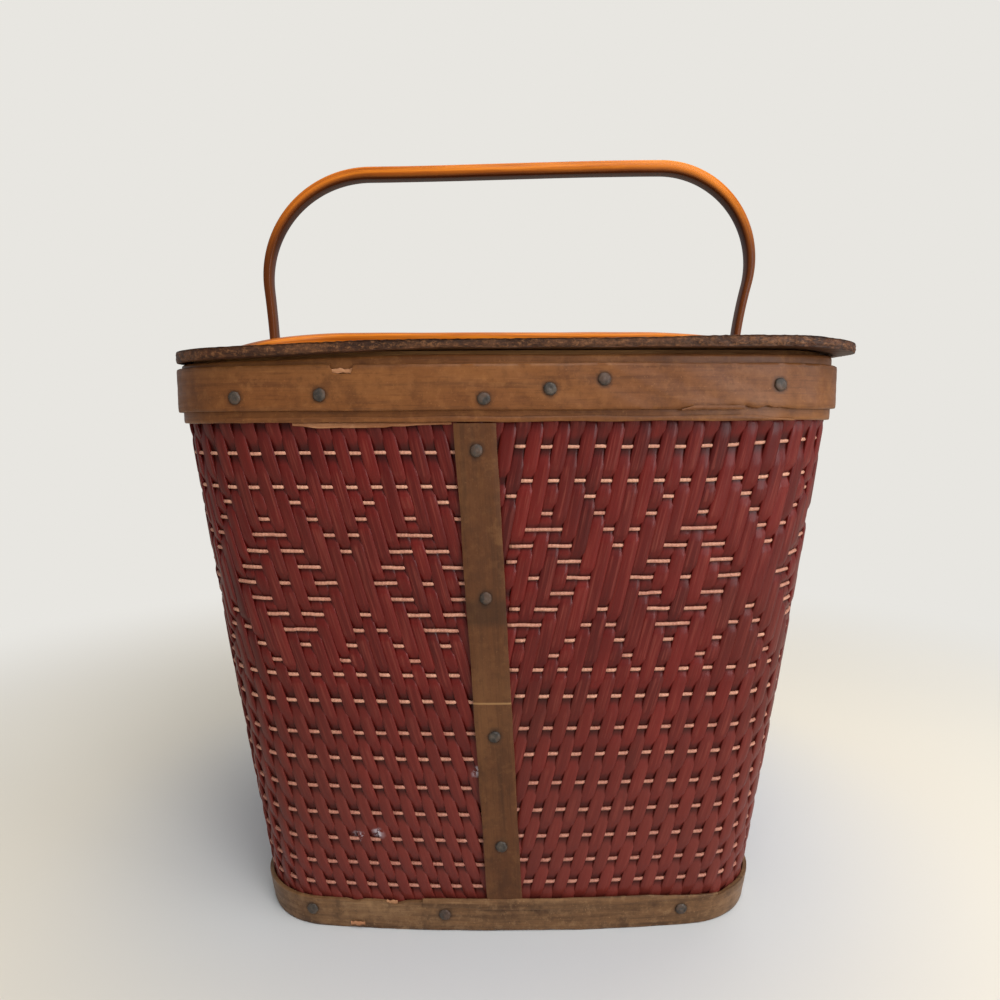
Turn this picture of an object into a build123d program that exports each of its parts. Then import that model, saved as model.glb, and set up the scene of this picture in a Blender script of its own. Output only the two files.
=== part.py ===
from build123d import *
import os
from math import atan2, cos, degrees, hypot, pi, sin, sqrt

# Woven picnic basket with a flat hinged lid and two bentwood swing handles.
# Millimetres, +Z up, +X to the right of the seam side, which faces -Y.
# The origin is under the middle of the basket, on the surface it stands on.

# Woven body, over the outer faces of the weave
BASE_WIDTH = 249.0
BASE_DEPTH = 236.0
TOP_WIDTH = 306.0
TOP_DEPTH = 281.0
BASE_CORNER = 36.0
TOP_CORNER = 42.0
BASE_FRONT_BOW = 8.0
TOP_FRONT_BOW = 7.0
BASE_SIDE_BOW = 2.0
TOP_SIDE_BOW = 1.5
PROFILE_BULGE = 0.1
WALL_THICKNESS = 3.0
WALL_CLEARANCE = 1.5
WAVES = 10
WAVE_DEPTH = 1.0

# Heights of the rim, and of the lid that lies on it
RIM_BOTTOM = 249.0
RIM_TOP = 278.0
LID_THICKNESS = 5.0
LID_GAP = 2.0
SEAT = 0.1
REST_GAP = 0.3
HEAD_SEAT = 0.02

# Hoops: a wide splint, a narrow nailed splint over it, and one inside
WIDE_HOOP_THICKNESS = 2.2
NAILED_HOOP_THICKNESS = 2.2
NAILED_HOOP_BOTTOM = 254.0
NAILED_HOOP_TOP = 274.0
INNER_HOOP_THICKNESS = 2.4
INNER_HOOP_BOTTOM = 251.0
REED_WIDTH = 3.0
REED_THICKNESS = 1.2
REED_FROM = -93.0
REED_TO = -24.0

# Base band and bottom board
BAND_HEIGHT = 16.0
BAND_THICKNESS = 2.4
BOARD_BOTTOM = 5.5
BOARD_THICKNESS = 8.0

# Batten over the seam in the weave, and its partner inside
BATTEN_TOP_WIDTH = 18.8
BATTEN_BASE_WIDTH = 17.5
BATTEN_TOP_X = -14.0
BATTEN_BASE_X = -2.0
BATTEN_THICKNESS = 2.4

# Lid: a fixed back board and a front flap hinged to it
LID_SIDE_OVERHANG = 1.25
LID_END_OVERHANG = 6.5
LID_SHIFT = 1.25
LID_FRONT_LEFT_CORNER = 42.0
LID_FRONT_RIGHT_CORNER = 27.0
LID_BACK_CORNER = 38.0
HINGE_LINE_Y = 22.0
FLAP_GAP = 1.0
CROSSBAR_FRONT = 10.0
CROSSBAR_BACK = 22.0
CROSSBAR_HEIGHT = 18.0
BAR_NAIL_STEP = 7.0
BAR_NAIL_EDGE = 10.7
BAR_NAIL_BACK = 3.0
CLEAT_NAIL_EDGE = 12.0
CLEAT_LENGTH = 140.0
CLEAT_WIDTH = 13.0
CLEAT_HEIGHT = 20.0

# Surface butt hinges
HINGE_LENGTH = 46.0
HINGE_SPACING = 170.0
LEAF_WIDTH = 17.0
LEAF_THICKNESS = 1.2
LEAF_CORNER = 1.5
LEAF_ROOT = 2.0
KNUCKLE_RADIUS = 2.4
PIN_RADIUS = 1.2
PIN_HEAD_RADIUS = 1.9
PIN_HEAD_THICKNESS = 0.8
KNUCKLE_GAP = 0.3
PIN_CLEARANCE = 0.05
SCREW_RADIUS = 1.1
SCREW_HEAD_RADIUS = 2.3
SCREW_HEAD_HEIGHT = 0.7
SCREW_LENGTH = 4.4
SCREW_PITCH = 30.0
SCREW_BACK = 10.2
SCREW_SIDES = 8

# Swing handles: each one turns on two bolts through the rim
PIVOT_Y = 76.0
PIVOT_Z = 263.0
BOLT_RADIUS = 2.5
BOLT_CLEARANCE = 0.05
DRILL_CLEARANCE = 0.1
BOLT_HEAD_RADIUS = 5.6
BOLT_HEAD_HEIGHT = 2.6
BOLT_TAIL = 1.6
BOLT_POINT = 0.6
SPACER_RADIUS = 7.0
SPACER_THICKNESS = 1.2
WASHER_RADIUS = 6.5
WASHER_THICKNESS = 1.0
NUT_WIDTH = 8.0
NUT_THICKNESS = 3.2
HANDLE_REACH = 159.5
HANDLE_WIDTH = 12.0
LEG_THICKNESS = 5.0
LEG_STRAIGHT = 9.6
LEAN_HEIGHT = 80.0
LEAN_THICKNESS = 5.6
FULL_LEAN = 9.0
SLIGHT_LEAN = 3.5
BAR_THICKNESS = 9.0
EYE_RADIUS = 8.0
HANDLE_EDGE = 1.6
NEAR_HANDLE_REST = 15.6

# Steel nails with square shanks and low hand-made heads
NAIL_RADIUS = 1.1
NAIL_SIDES = 4
NAIL_POINT = 2.0
NAIL_HEAD_RADIUS = 2.9
NAIL_HEAD_HEIGHT = 1.0
BOARD_NAIL_HEAD_RADIUS = 2.4
HEAD_SIDES = 12
HEAD_TOP_SHARE = 0.55
POINT_SHARE = 0.3
BASE_NAIL_GRIP = 12.0
BOARD_NAIL_SHORT = 2.0

# Places of the nails: along each side from its middle, and above the ground
RIM_FRONT_NAILS = [
    (-117.0, 260.0), (-80.0, 261.0), (-10.0, 259.0), (18.0, 263.0), (41.0, 267.0), (117.0, 264.5),
]
RIM_BACK_NAILS = [(150.0, 263.0), (88.0, 261.0), (-141.0, 264.0), (-83.0, 265.0)]
RIM_RIGHT_NAILS = [(91.0, 266.5), (40.0, 264.0)]
RIM_LEFT_NAILS = [(98.0, 260.5), (40.0, 264.0)]
BASE_FRONT_NAILS = [-97.6, -31.4, 85.1]
BASE_OTHER_SHARES = [0.21, 0.30, 0.39, 0.47, -0.20, -0.29, -0.38, -0.45]
BATTEN_NAIL_HEIGHTS = [237.0, 171.0, 104.0, 47.0]

LID_BOTTOM = RIM_TOP + LID_GAP
LID_TOP = LID_BOTTOM + LID_THICKNESS
INNER_HOOP_TOP = LID_BOTTOM - REST_GAP
WIDE_HOOP_OUT = SEAT + WIDE_HOOP_THICKNESS
NAILED_HOOP_OUT = WIDE_HOOP_OUT + SEAT + NAILED_HOOP_THICKNESS
INNER_HOOP_IN = WALL_THICKNESS + SEAT + INNER_HOOP_THICKNESS
HINGE_AXIS_Z = LID_TOP + SEAT + KNUCKLE_RADIUS

os.makedirs("parts", exist_ok=True)


def save(piece, name):
    """Labels a finished piece and writes it as a node of its own."""
    piece.label = name
    export_step(piece, f"parts/{name}.step")


class Outline:
    """Level outline of the basket: bowed sides joined by round corners, grown outward."""

    def __init__(self, z, grow=0.0):
        rise = min(max(z / RIM_BOTTOM, 0.0), 1.0)
        share = rise + PROFILE_BULGE * rise * (1 - rise)
        half_x = (BASE_WIDTH + (TOP_WIDTH - BASE_WIDTH) * share) / 2
        half_y = (BASE_DEPTH + (TOP_DEPTH - BASE_DEPTH) * share) / 2
        corner = BASE_CORNER + (TOP_CORNER - BASE_CORNER) * share
        front_bow = BASE_FRONT_BOW + (TOP_FRONT_BOW - BASE_FRONT_BOW) * share
        side_bow = BASE_SIDE_BOW + (TOP_SIDE_BOW - BASE_SIDE_BOW) * share
        front = ((half_x - front_bow) ** 2 + front_bow**2) / (2 * front_bow)
        side = ((half_y - side_bow) ** 2 + side_bow**2) / (2 * side_bow)
        self.front_y = half_y - front
        self.side_x = half_x - side
        # The corner's centre lies on a circle about each side's centre, so it is where the two meet.
        reach_front, reach_side = front - corner, side - corner
        across, along = self.side_x, self.front_y
        apart = hypot(across, along)
        near = (reach_front**2 - reach_side**2 + apart**2) / (2 * apart)
        off = sqrt(reach_front**2 - near**2)
        self.corner_x = (near * across + off * along) / apart
        self.corner_y = along - (near * along - off * across) / apart
        if self.corner_x < 0 or self.corner_y < 0:
            self.corner_x = (near * across - off * along) / apart
            self.corner_y = along - (near * along + off * across) / apart
        self.front_turn = atan2(self.corner_x, self.corner_y - self.front_y)
        self.side_turn = atan2(self.corner_y, self.corner_x - self.side_x)
        self.front_radius = front + grow
        self.side_radius = side + grow
        self.corner_radius = corner + grow
        self.half_x = half_x + grow
        self.half_y = half_y + grow

    def face(self):
        """The outline as a flat face at height zero."""
        a, b = degrees(self.front_turn), degrees(self.side_turn)
        bend = 90 - a - b
        x, y = self.corner_x, self.corner_y
        with BuildSketch() as flat:
            with BuildLine():
                CenterArc((0, -self.front_y), self.front_radius, -90 - a, 2 * a)
                CenterArc((x, -y), self.corner_radius, a - 90, bend)
                CenterArc((self.side_x, 0), self.side_radius, -b, 2 * b)
                CenterArc((x, y), self.corner_radius, b, bend)
                CenterArc((0, self.front_y), self.front_radius, 90 - a, 2 * a)
                CenterArc((-x, y), self.corner_radius, 90 + a, bend)
                CenterArc((-self.side_x, 0), self.side_radius, 180 - b, 2 * b)
                CenterArc((-x, -y), self.corner_radius, 180 + b, bend)
            make_face()
        return flat.sketch

    def place(self, run):
        """Point and outward angle on the outline, run mm along it from the front's middle."""
        side, left = abs(run), run < 0
        lengths = [
            self.front_radius * self.front_turn,
            self.corner_radius * (pi / 2 - self.front_turn - self.side_turn),
            2 * self.side_radius * self.side_turn,
        ]
        back = side > lengths[0] + lengths[1] + lengths[2] / 2
        if back:
            side = 2 * (lengths[0] + lengths[1] + lengths[2] / 2) - side
        if side < lengths[0]:
            angle = -pi / 2 + side / self.front_radius
            centre, radius = (0, -self.front_y), self.front_radius
        elif side < lengths[0] + lengths[1]:
            angle = -pi / 2 + self.front_turn + (side - lengths[0]) / self.corner_radius
            centre, radius = (self.corner_x, -self.corner_y), self.corner_radius
        else:
            angle = -self.side_turn + (side - lengths[0] - lengths[1]) / self.side_radius
            centre, radius = (self.side_x, 0), self.side_radius
        x, y = centre[0] + radius * cos(angle), centre[1] + radius * sin(angle)
        turn_x, turn_y = cos(angle), sin(angle)
        if left:
            x, turn_x = -x, -turn_x
        if back:
            y, turn_y = -y, -turn_y
        return (x, y), (turn_x, turn_y)

    def side_at(self, y):
        """Distance from the middle to the right side, at y."""
        return self.side_x + sqrt(self.side_radius**2 - y**2)

    def perimeter(self):
        """Length of the whole outline."""
        corner = self.corner_radius * (pi / 2 - self.front_turn - self.side_turn)
        return 4 * (self.front_radius * self.front_turn + corner + self.side_radius * self.side_turn)


def hoop(low, high, outside, inside):
    """Upright closed hoop around the rim, between two distances from the weave's outer face."""
    with BuildPart() as ring:
        with BuildSketch(Plane.XY.offset(low)):
            add(Outline(high, outside).face())
        extrude(amount=high - low)
        with BuildSketch(Plane.XY.offset(low)):
            add(Outline(high, inside).face())
        extrude(amount=high - low, mode=Mode.SUBTRACT)
    return ring


def tapered(heights, outside, inside):
    """Closed band that follows the body's taper, between two distances from the weave's outer face."""
    with BuildPart() as ring:
        for z in heights:
            with BuildSketch(Plane.XY.offset(z)):
                add(Outline(z, outside).face())
        loft(ruled=True)
        for z in heights:
            with BuildSketch(Plane.XY.offset(z)):
                add(Outline(z, inside).face())
        loft(ruled=True, mode=Mode.SUBTRACT)
    return ring


def pivot_planes(x):
    """Planes at the four handle pivots, x from the middle, facing outward."""
    return [
        Plane(origin=(side * x, end * PIVOT_Y, PIVOT_Z), x_dir=(0, 1, 0), z_dir=(side, 0, 0))
        for side in (1, -1)
        for end in (1, -1)
    ]


with BuildPart() as pivot_drill:
    for plane in pivot_planes(TOP_WIDTH / 2 - INNER_HOOP_IN * 3):
        with BuildSketch(plane):
            Circle(BOLT_RADIUS + DRILL_CLEARANCE)
        extrude(amount=INNER_HOOP_IN * 6)


def fastener(length, radius, sides, head_radius, head_height, point):
    """Faceted fastener along -Z: a shank with flat sides, a point, and a low head that stands on z = 0."""
    with BuildPart() as piece:
        for height, size in ((0, head_radius), (head_height, HEAD_TOP_SHARE * head_radius)):
            with BuildSketch(Plane.XY.offset(height)):
                RegularPolygon(size, HEAD_SIDES)
        loft(ruled=True)
        for height, size in ((point - length, radius), (-length, POINT_SHARE * radius)):
            with BuildSketch(Plane.XY.offset(height)):
                RegularPolygon(size, sides)
        loft(ruled=True)
        with BuildSketch(Plane.XY.offset(point - length)):
            RegularPolygon(radius, sides)
        extrude(amount=length - point)
    return piece.part


def nail(length, head_radius=NAIL_HEAD_RADIUS):
    """Square nail with a low head."""
    return fastener(length, NAIL_RADIUS, NAIL_SIDES, head_radius, NAIL_HEAD_HEIGHT, NAIL_POINT)


def outward_planes(grow, places):
    """Planes on the outline, each facing outward, at pairs of a distance along it and a height."""
    planes = []
    for run, z in places:
        (x, y), (turn_x, turn_y) = Outline(z, grow).place(run)
        planes.append(Plane(origin=(x, y, z), x_dir=(0, 0, 1), z_dir=(turn_x, turn_y, 0)))
    return planes


def scatter(piece, planes):
    """Group of copies of one fastener, one on each plane."""
    with BuildPart() as group:
        with Locations(*[plane.location for plane in planes]):
            add(piece)
    return group.part


# Woven body

# Its rows of cords stand out as shallow waves between the base band and the rim
crests = [BAND_HEIGHT + (RIM_BOTTOM - BAND_HEIGHT) * k / WAVES for k in range(WAVES + 1)]
waves = [(crests[0], 0)]
for low, high in zip(crests, crests[1:]):
    waves += [((low + high) / 2, -WAVE_DEPTH), (high, 0)]
wall_top = RIM_TOP - SEAT
with BuildPart() as wall:
    for z, grow in [(WALL_CLEARANCE, 0), *waves, (wall_top, 0)]:
        with BuildSketch(Plane.XY.offset(z)):
            add(Outline(z, grow).face())
    loft(ruled=True)
    for z in (WALL_CLEARANCE, *crests, wall_top):
        with BuildSketch(Plane.XY.offset(z)):
            add(Outline(z, -WALL_THICKNESS).face())
    loft(ruled=True, mode=Mode.SUBTRACT)
    add(pivot_drill.part, mode=Mode.SUBTRACT)
save(wall.part, "woven_wall")

band = tapered([0, BAND_HEIGHT], SEAT + BAND_THICKNESS, SEAT)
save(band.part, "base_band")

with BuildPart() as bottom_board:
    for height in (BOARD_BOTTOM, BOARD_BOTTOM + BOARD_THICKNESS):
        with BuildSketch(Plane.XY.offset(height)):
            add(Outline(height, -WALL_THICKNESS - REST_GAP).face())
    loft(ruled=True)
save(bottom_board.part, "bottom_board")

# Rim hoops

with BuildPart() as wide_hoop:
    add(hoop(RIM_BOTTOM, RIM_TOP, WIDE_HOOP_OUT, SEAT).part)
    add(pivot_drill.part, mode=Mode.SUBTRACT)
save(wide_hoop.part, "rim_wide_hoop")

with BuildPart() as nailed_hoop:
    add(hoop(NAILED_HOOP_BOTTOM, NAILED_HOOP_TOP, NAILED_HOOP_OUT, WIDE_HOOP_OUT + SEAT).part)
    add(pivot_drill.part, mode=Mode.SUBTRACT)
save(nailed_hoop.part, "rim_nailed_hoop")

with BuildPart() as inner_hoop:
    add(hoop(INNER_HOOP_BOTTOM, INNER_HOOP_TOP, -WALL_THICKNESS - SEAT, -INNER_HOOP_IN).part)
    add(pivot_drill.part, mode=Mode.SUBTRACT)
save(inner_hoop.part, "rim_inner_hoop")

with BuildPart() as reed:
    add(hoop(RIM_BOTTOM - REED_WIDTH, RIM_BOTTOM - SEAT, REED_THICKNESS + SEAT, SEAT).part)
    with BuildSketch(Plane.XZ):
        with Locations(((REED_FROM + REED_TO) / 2, RIM_BOTTOM - REED_WIDTH / 2)):
            Rectangle(REED_TO - REED_FROM, REED_WIDTH)
    extrude(amount=TOP_DEPTH, mode=Mode.INTERSECT)
save(reed.part, "rim_reed_strip")

# Seam battens

batten_bottom = BAND_HEIGHT + REST_GAP
batten_top = RIM_BOTTOM - REST_GAP


def batten(low, high, outside, inside):
    """Tapered batten up the middle of the front, between two distances from the weave's outer face."""
    with BuildPart() as strip:
        add(tapered(crests, outside, inside).part)
        with BuildSketch(Plane.XZ):
            with BuildLine():
                Polyline(
                    (BATTEN_BASE_X - BATTEN_BASE_WIDTH / 2, low), (BATTEN_BASE_X + BATTEN_BASE_WIDTH / 2, low),
                    (BATTEN_TOP_X + BATTEN_TOP_WIDTH / 2, high), (BATTEN_TOP_X - BATTEN_TOP_WIDTH / 2, high),
                    close=True,
                )
            make_face()
        extrude(amount=TOP_DEPTH, mode=Mode.INTERSECT)
    return strip


outer_batten = batten(batten_bottom, batten_top, SEAT + BATTEN_THICKNESS, SEAT)
save(outer_batten.part, "seam_batten_outer")
inner_batten = batten(
    BAND_HEIGHT, batten_top, -WALL_THICKNESS - SEAT, -WALL_THICKNESS - SEAT - BATTEN_THICKNESS
)
save(inner_batten.part, "seam_batten_inner")

# Nails in the rim, the base band and the batten

nail_height = (NAILED_HOOP_BOTTOM + NAILED_HOOP_TOP) / 2
rim_length = Outline(RIM_TOP, NAILED_HOOP_OUT).perimeter()
back_nails = [(rim_length / 2 - run if run > 0 else -run - rim_length / 2, z) for run, z in RIM_BACK_NAILS]
flank_nails = [(rim_length / 4 - run, z) for run, z in RIM_RIGHT_NAILS]
flank_nails += [(run - rim_length / 4, z) for run, z in RIM_LEFT_NAILS]
rim_nail = nail(INNER_HOOP_IN + NAILED_HOOP_OUT - SEAT)
rim_planes = outward_planes(NAILED_HOOP_OUT + HEAD_SEAT, RIM_FRONT_NAILS + back_nails + flank_nails)
save(scatter(rim_nail, rim_planes), "rim_nails")

base_nail_height = BOARD_BOTTOM + BOARD_THICKNESS / 2
base_grow = SEAT + BAND_THICKNESS + HEAD_SEAT
base_length = Outline(base_nail_height, base_grow).perimeter()
base_runs = BASE_FRONT_NAILS + [base_length * share for share in BASE_OTHER_SHARES]
base_nail = nail(BAND_THICKNESS + WALL_THICKNESS + BASE_NAIL_GRIP)
base_planes = outward_planes(base_grow, [(run, base_nail_height) for run in base_runs])
save(scatter(base_nail, base_planes), "base_nails")

batten_nail = nail(2 * BATTEN_THICKNESS + WALL_THICKNESS)
batten_planes = []
for height in BATTEN_NAIL_HEIGHTS:
    up = (height - batten_bottom) / (batten_top - batten_bottom)
    centre_x = BATTEN_BASE_X + (BATTEN_TOP_X - BATTEN_BASE_X) * up
    front = Outline(height, 2 * SEAT + BATTEN_THICKNESS)
    batten_planes.append(
        Plane(origin=(centre_x, -front.half_y, height), x_dir=(1, 0, 0), z_dir=(0, -1, 0))
    )
save(scatter(batten_nail, batten_planes), "batten_nails")

# Lid boards

lid_width = TOP_WIDTH + 2 * LID_SIDE_OVERHANG
lid_depth = TOP_DEPTH + 2 * LID_END_OVERHANG


def lid_board(low_y, high_y):
    """The part of the lid's board that lies between two distances from the middle."""
    with BuildPart() as board:
        with BuildSketch(Plane.XY.offset(LID_BOTTOM)) as plan:
            with Locations((LID_SHIFT, 0)):
                Rectangle(lid_width, lid_depth)
            fillet(plan.vertices().group_by(Axis.Y)[-1], LID_BACK_CORNER)
            fillet(plan.vertices().group_by(Axis.Y)[0].sort_by(Axis.X)[0], LID_FRONT_LEFT_CORNER)
            fillet(plan.vertices().group_by(Axis.Y)[0].sort_by(Axis.X)[-1], LID_FRONT_RIGHT_CORNER)
            with Locations((LID_SHIFT, (low_y + high_y) / 2)):
                Rectangle(lid_width, high_y - low_y, mode=Mode.INTERSECT)
        extrude(amount=LID_THICKNESS)
    return board


front_flap = lid_board(-lid_depth / 2, HINGE_LINE_Y - FLAP_GAP / 2)
save(front_flap.part, "lid_front_flap")
back_board = lid_board(HINGE_LINE_Y + FLAP_GAP / 2, lid_depth / 2)
save(back_board.part, "lid_back_board")

# Bar and cleat that carry the back board inside the rim

inside_rim = Outline(RIM_TOP, -INNER_HOOP_IN - REST_GAP)


def inside_bar(low_y, high_y, length, height):
    """Wooden bar under the lid, trimmed to the inside of the inner hoop."""
    with BuildPart() as bar:
        with BuildSketch(Plane.XY.offset(LID_BOTTOM - REST_GAP)):
            add(inside_rim.face())
            with Locations((0, (low_y + high_y) / 2)):
                Rectangle(length, high_y - low_y, mode=Mode.INTERSECT)
        extrude(amount=-height)
    return bar


crossbar = inside_bar(HINGE_LINE_Y - CROSSBAR_FRONT, HINGE_LINE_Y + CROSSBAR_BACK, TOP_WIDTH, CROSSBAR_HEIGHT)
save(crossbar.part, "lid_crossbar")
cleat = inside_bar(inside_rim.half_y - CLEAT_WIDTH, inside_rim.half_y, CLEAT_LENGTH, CLEAT_HEIGHT)
save(cleat.part, "lid_back_cleat")

# Longer nails through the rim into the ends of the bar and into the cleat
bar_middle = rim_length / 4 + HINGE_LINE_Y + (CROSSBAR_BACK - CROSSBAR_FRONT) / 2
long_runs = [side * (bar_middle + step) for side in (1, -1) for step in (-BAR_NAIL_STEP, BAR_NAIL_STEP)]
long_runs += [side * (rim_length / 2 - CLEAT_LENGTH / 4) for side in (1, -1)]
long_nail = nail(INNER_HOOP_IN + NAILED_HOOP_OUT + CLEAT_WIDTH * 0.8)
long_planes = outward_planes(NAILED_HOOP_OUT + HEAD_SEAT, [(run, nail_height) for run in long_runs])
save(scatter(long_nail, long_planes), "rim_long_nails")

bar_nail_y = HINGE_LINE_Y + CROSSBAR_BACK / 2 + BAR_NAIL_BACK
bar_nail_x = inside_rim.half_x - BAR_NAIL_EDGE
cleat_nail_y = inside_rim.half_y - CLEAT_WIDTH / 2
cleat_nail_x = CLEAT_LENGTH / 2 - CLEAT_NAIL_EDGE
board_nail = nail(LID_THICKNESS + CROSSBAR_HEIGHT - BOARD_NAIL_SHORT, BOARD_NAIL_HEAD_RADIUS)
board_places = [(bar_nail_x * share, bar_nail_y) for share in (-1, -1 / 3, 1 / 3, 1)]
board_places += [(cleat_nail_x * share, cleat_nail_y) for share in (-1, 0, 1)]
board_planes = [Plane(origin=(x, y, LID_TOP + HEAD_SEAT), z_dir=(0, 0, 1)) for x, y in board_places]
save(scatter(board_nail, board_planes), "lid_nails")

# Hinges: two knuckles stay with the back board, the one between them moves with the flap

knuckle = (HINGE_LENGTH - 2 * KNUCKLE_GAP) / 3
hinge_centres = [-HINGE_SPACING / 2, HINGE_SPACING / 2]
leaf_bottom = LID_TOP + SEAT
leaf_start = KNUCKLE_RADIUS + KNUCKLE_GAP


def hinge_leaf(centre_x, towards, knuckle_centres):
    """Leaf and its knuckles, lying on the board at one side of the hinge line."""
    with BuildPart() as leaf:
        with BuildSketch(Plane.XY.offset(leaf_bottom)):
            with Locations((centre_x, HINGE_LINE_Y + towards * (leaf_start + LEAF_WIDTH / 2))):
                RectangleRounded(HINGE_LENGTH, LEAF_WIDTH, LEAF_CORNER)
            for x in knuckle_centres:
                with Locations((x, HINGE_LINE_Y + towards * leaf_start / 2)):
                    Rectangle(knuckle, leaf_start + LEAF_ROOT)
        extrude(amount=LEAF_THICKNESS)
        for x in knuckle_centres:
            with BuildSketch(Plane(origin=(x - knuckle / 2, HINGE_LINE_Y, HINGE_AXIS_Z), z_dir=(1, 0, 0))):
                Circle(KNUCKLE_RADIUS)
            extrude(amount=knuckle)
        with BuildSketch(Plane(origin=(centre_x - HINGE_LENGTH, HINGE_LINE_Y, HINGE_AXIS_Z), z_dir=(1, 0, 0))):
            Circle(PIN_RADIUS + PIN_CLEARANCE)
        extrude(amount=2 * HINGE_LENGTH, mode=Mode.SUBTRACT)
    return leaf.part


with BuildPart() as fixed_leaves:
    for centre in hinge_centres:
        step = knuckle + KNUCKLE_GAP
        add(hinge_leaf(centre, 1, [centre - step, centre + step]))
save(fixed_leaves.part, "hinge_leaves_fixed")

with BuildPart() as flap_leaves:
    for centre in hinge_centres:
        add(hinge_leaf(centre, -1, [centre]))
save(flap_leaves.part, "hinge_leaves_flap")

with BuildPart() as pins:
    for centre in hinge_centres:
        start = centre - HINGE_LENGTH / 2 - PIN_HEAD_THICKNESS
        with BuildSketch(Plane(origin=(start, HINGE_LINE_Y, HINGE_AXIS_Z), z_dir=(1, 0, 0))):
            Circle(PIN_HEAD_RADIUS)
        extrude(amount=PIN_HEAD_THICKNESS)
        with BuildSketch(Plane(origin=(start, HINGE_LINE_Y, HINGE_AXIS_Z), z_dir=(1, 0, 0))):
            Circle(PIN_RADIUS)
        extrude(amount=HINGE_LENGTH + 2 * PIN_HEAD_THICKNESS)
save(pins.part, "hinge_pins")


def screws(towards):
    """Screws through the leaves on one side of the hinge line."""
    screw = fastener(
        SCREW_LENGTH, SCREW_RADIUS, SCREW_SIDES, SCREW_HEAD_RADIUS, SCREW_HEAD_HEIGHT, SCREW_RADIUS
    )
    y = HINGE_LINE_Y + towards * (leaf_start + SCREW_BACK)
    planes = [
        Plane(origin=(centre + side * SCREW_PITCH / 2, y, leaf_bottom + LEAF_THICKNESS + HEAD_SEAT), z_dir=(0, 0, 1))
        for centre in hinge_centres
        for side in (-1, 1)
    ]
    return scatter(screw, planes)


save(screws(1), "hinge_screws_fixed")
save(screws(-1), "hinge_screws_flap")

# Handle pivots, from the spacer outside the rim to the nut inside it

rim_face = Outline(RIM_TOP, NAILED_HOOP_OUT).side_at(PIVOT_Y - SPACER_RADIUS) + SEAT
handle_inside = rim_face + SPACER_THICKNESS + REST_GAP
head_face = handle_inside + LEG_THICKNESS + REST_GAP
nut_side = Outline(RIM_TOP, -INNER_HOOP_IN).side_at(PIVOT_Y + WASHER_RADIUS) - SEAT

with BuildPart() as spacers:
    for plane in pivot_planes(rim_face):
        with BuildSketch(plane):
            Circle(SPACER_RADIUS)
            Circle(BOLT_RADIUS + DRILL_CLEARANCE, mode=Mode.SUBTRACT)
        extrude(amount=SPACER_THICKNESS)
save(spacers.part, "pivot_spacers")

with BuildPart() as washers:
    for plane in pivot_planes(nut_side - WASHER_THICKNESS):
        with BuildSketch(plane):
            Circle(WASHER_RADIUS)
            Circle(BOLT_RADIUS + DRILL_CLEARANCE, mode=Mode.SUBTRACT)
        extrude(amount=WASHER_THICKNESS)
save(washers.part, "pivot_washers")

nut_face = nut_side - WASHER_THICKNESS - SEAT
with BuildPart() as nuts:
    for plane in pivot_planes(nut_face - NUT_THICKNESS):
        with BuildSketch(plane):
            RegularPolygon(NUT_WIDTH / 2, 6, major_radius=False)
            Circle(BOLT_RADIUS + BOLT_CLEARANCE, mode=Mode.SUBTRACT)
        extrude(amount=NUT_THICKNESS)
save(nuts.part, "pivot_nuts")

bolt_length = head_face - nut_face + NUT_THICKNESS + BOLT_TAIL
head_dome = (BOLT_HEAD_RADIUS**2 + BOLT_HEAD_HEIGHT**2) / (2 * BOLT_HEAD_HEIGHT)
with BuildPart() as bolt:
    with BuildSketch(Plane.XZ):
        with BuildLine():
            Polyline(
                (0, BOLT_HEAD_HEIGHT), (0, -bolt_length), (BOLT_RADIUS - BOLT_POINT, -bolt_length),
                (BOLT_RADIUS, BOLT_POINT - bolt_length), (BOLT_RADIUS, 0), (BOLT_HEAD_RADIUS, 0),
            )
            RadiusArc((BOLT_HEAD_RADIUS, 0), (0, BOLT_HEAD_HEIGHT), -head_dome)
        make_face()
    revolve(axis=Axis.Z)
save(scatter(bolt.part, pivot_planes(head_face)), "pivot_bolts")

# Bentwood handle, upright on its pivots, in the plane of its bow

leg_outside = handle_inside + LEG_THICKNESS
bar_top = HANDLE_REACH + BAR_THICKNESS / 2
bar_bottom = HANDLE_REACH - BAR_THICKNESS / 2


def bow_edge(side, leg_x, lean_x, bar_z):
    """One side of one edge of the bow: up the leg, round the shoulder, to the middle of the bar."""
    turn = 2 * atan2(lean_x - leg_x, LEAN_HEIGHT - LEG_STRAIGHT)
    shoulder = (bar_z - LEAN_HEIGHT) / (1 + sin(turn))
    Line((side * leg_x, 0), (side * leg_x, LEG_STRAIGHT))
    bend = TangentArc((side * leg_x, LEG_STRAIGHT), (side * lean_x, LEAN_HEIGHT), tangent=(0, 1))
    TangentArc(bend @ 1, (side * (lean_x - shoulder * cos(turn)), bar_z), tangent=bend % 1)
    Line((side * (lean_x - shoulder * cos(turn)), bar_z), (0, bar_z))


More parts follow.
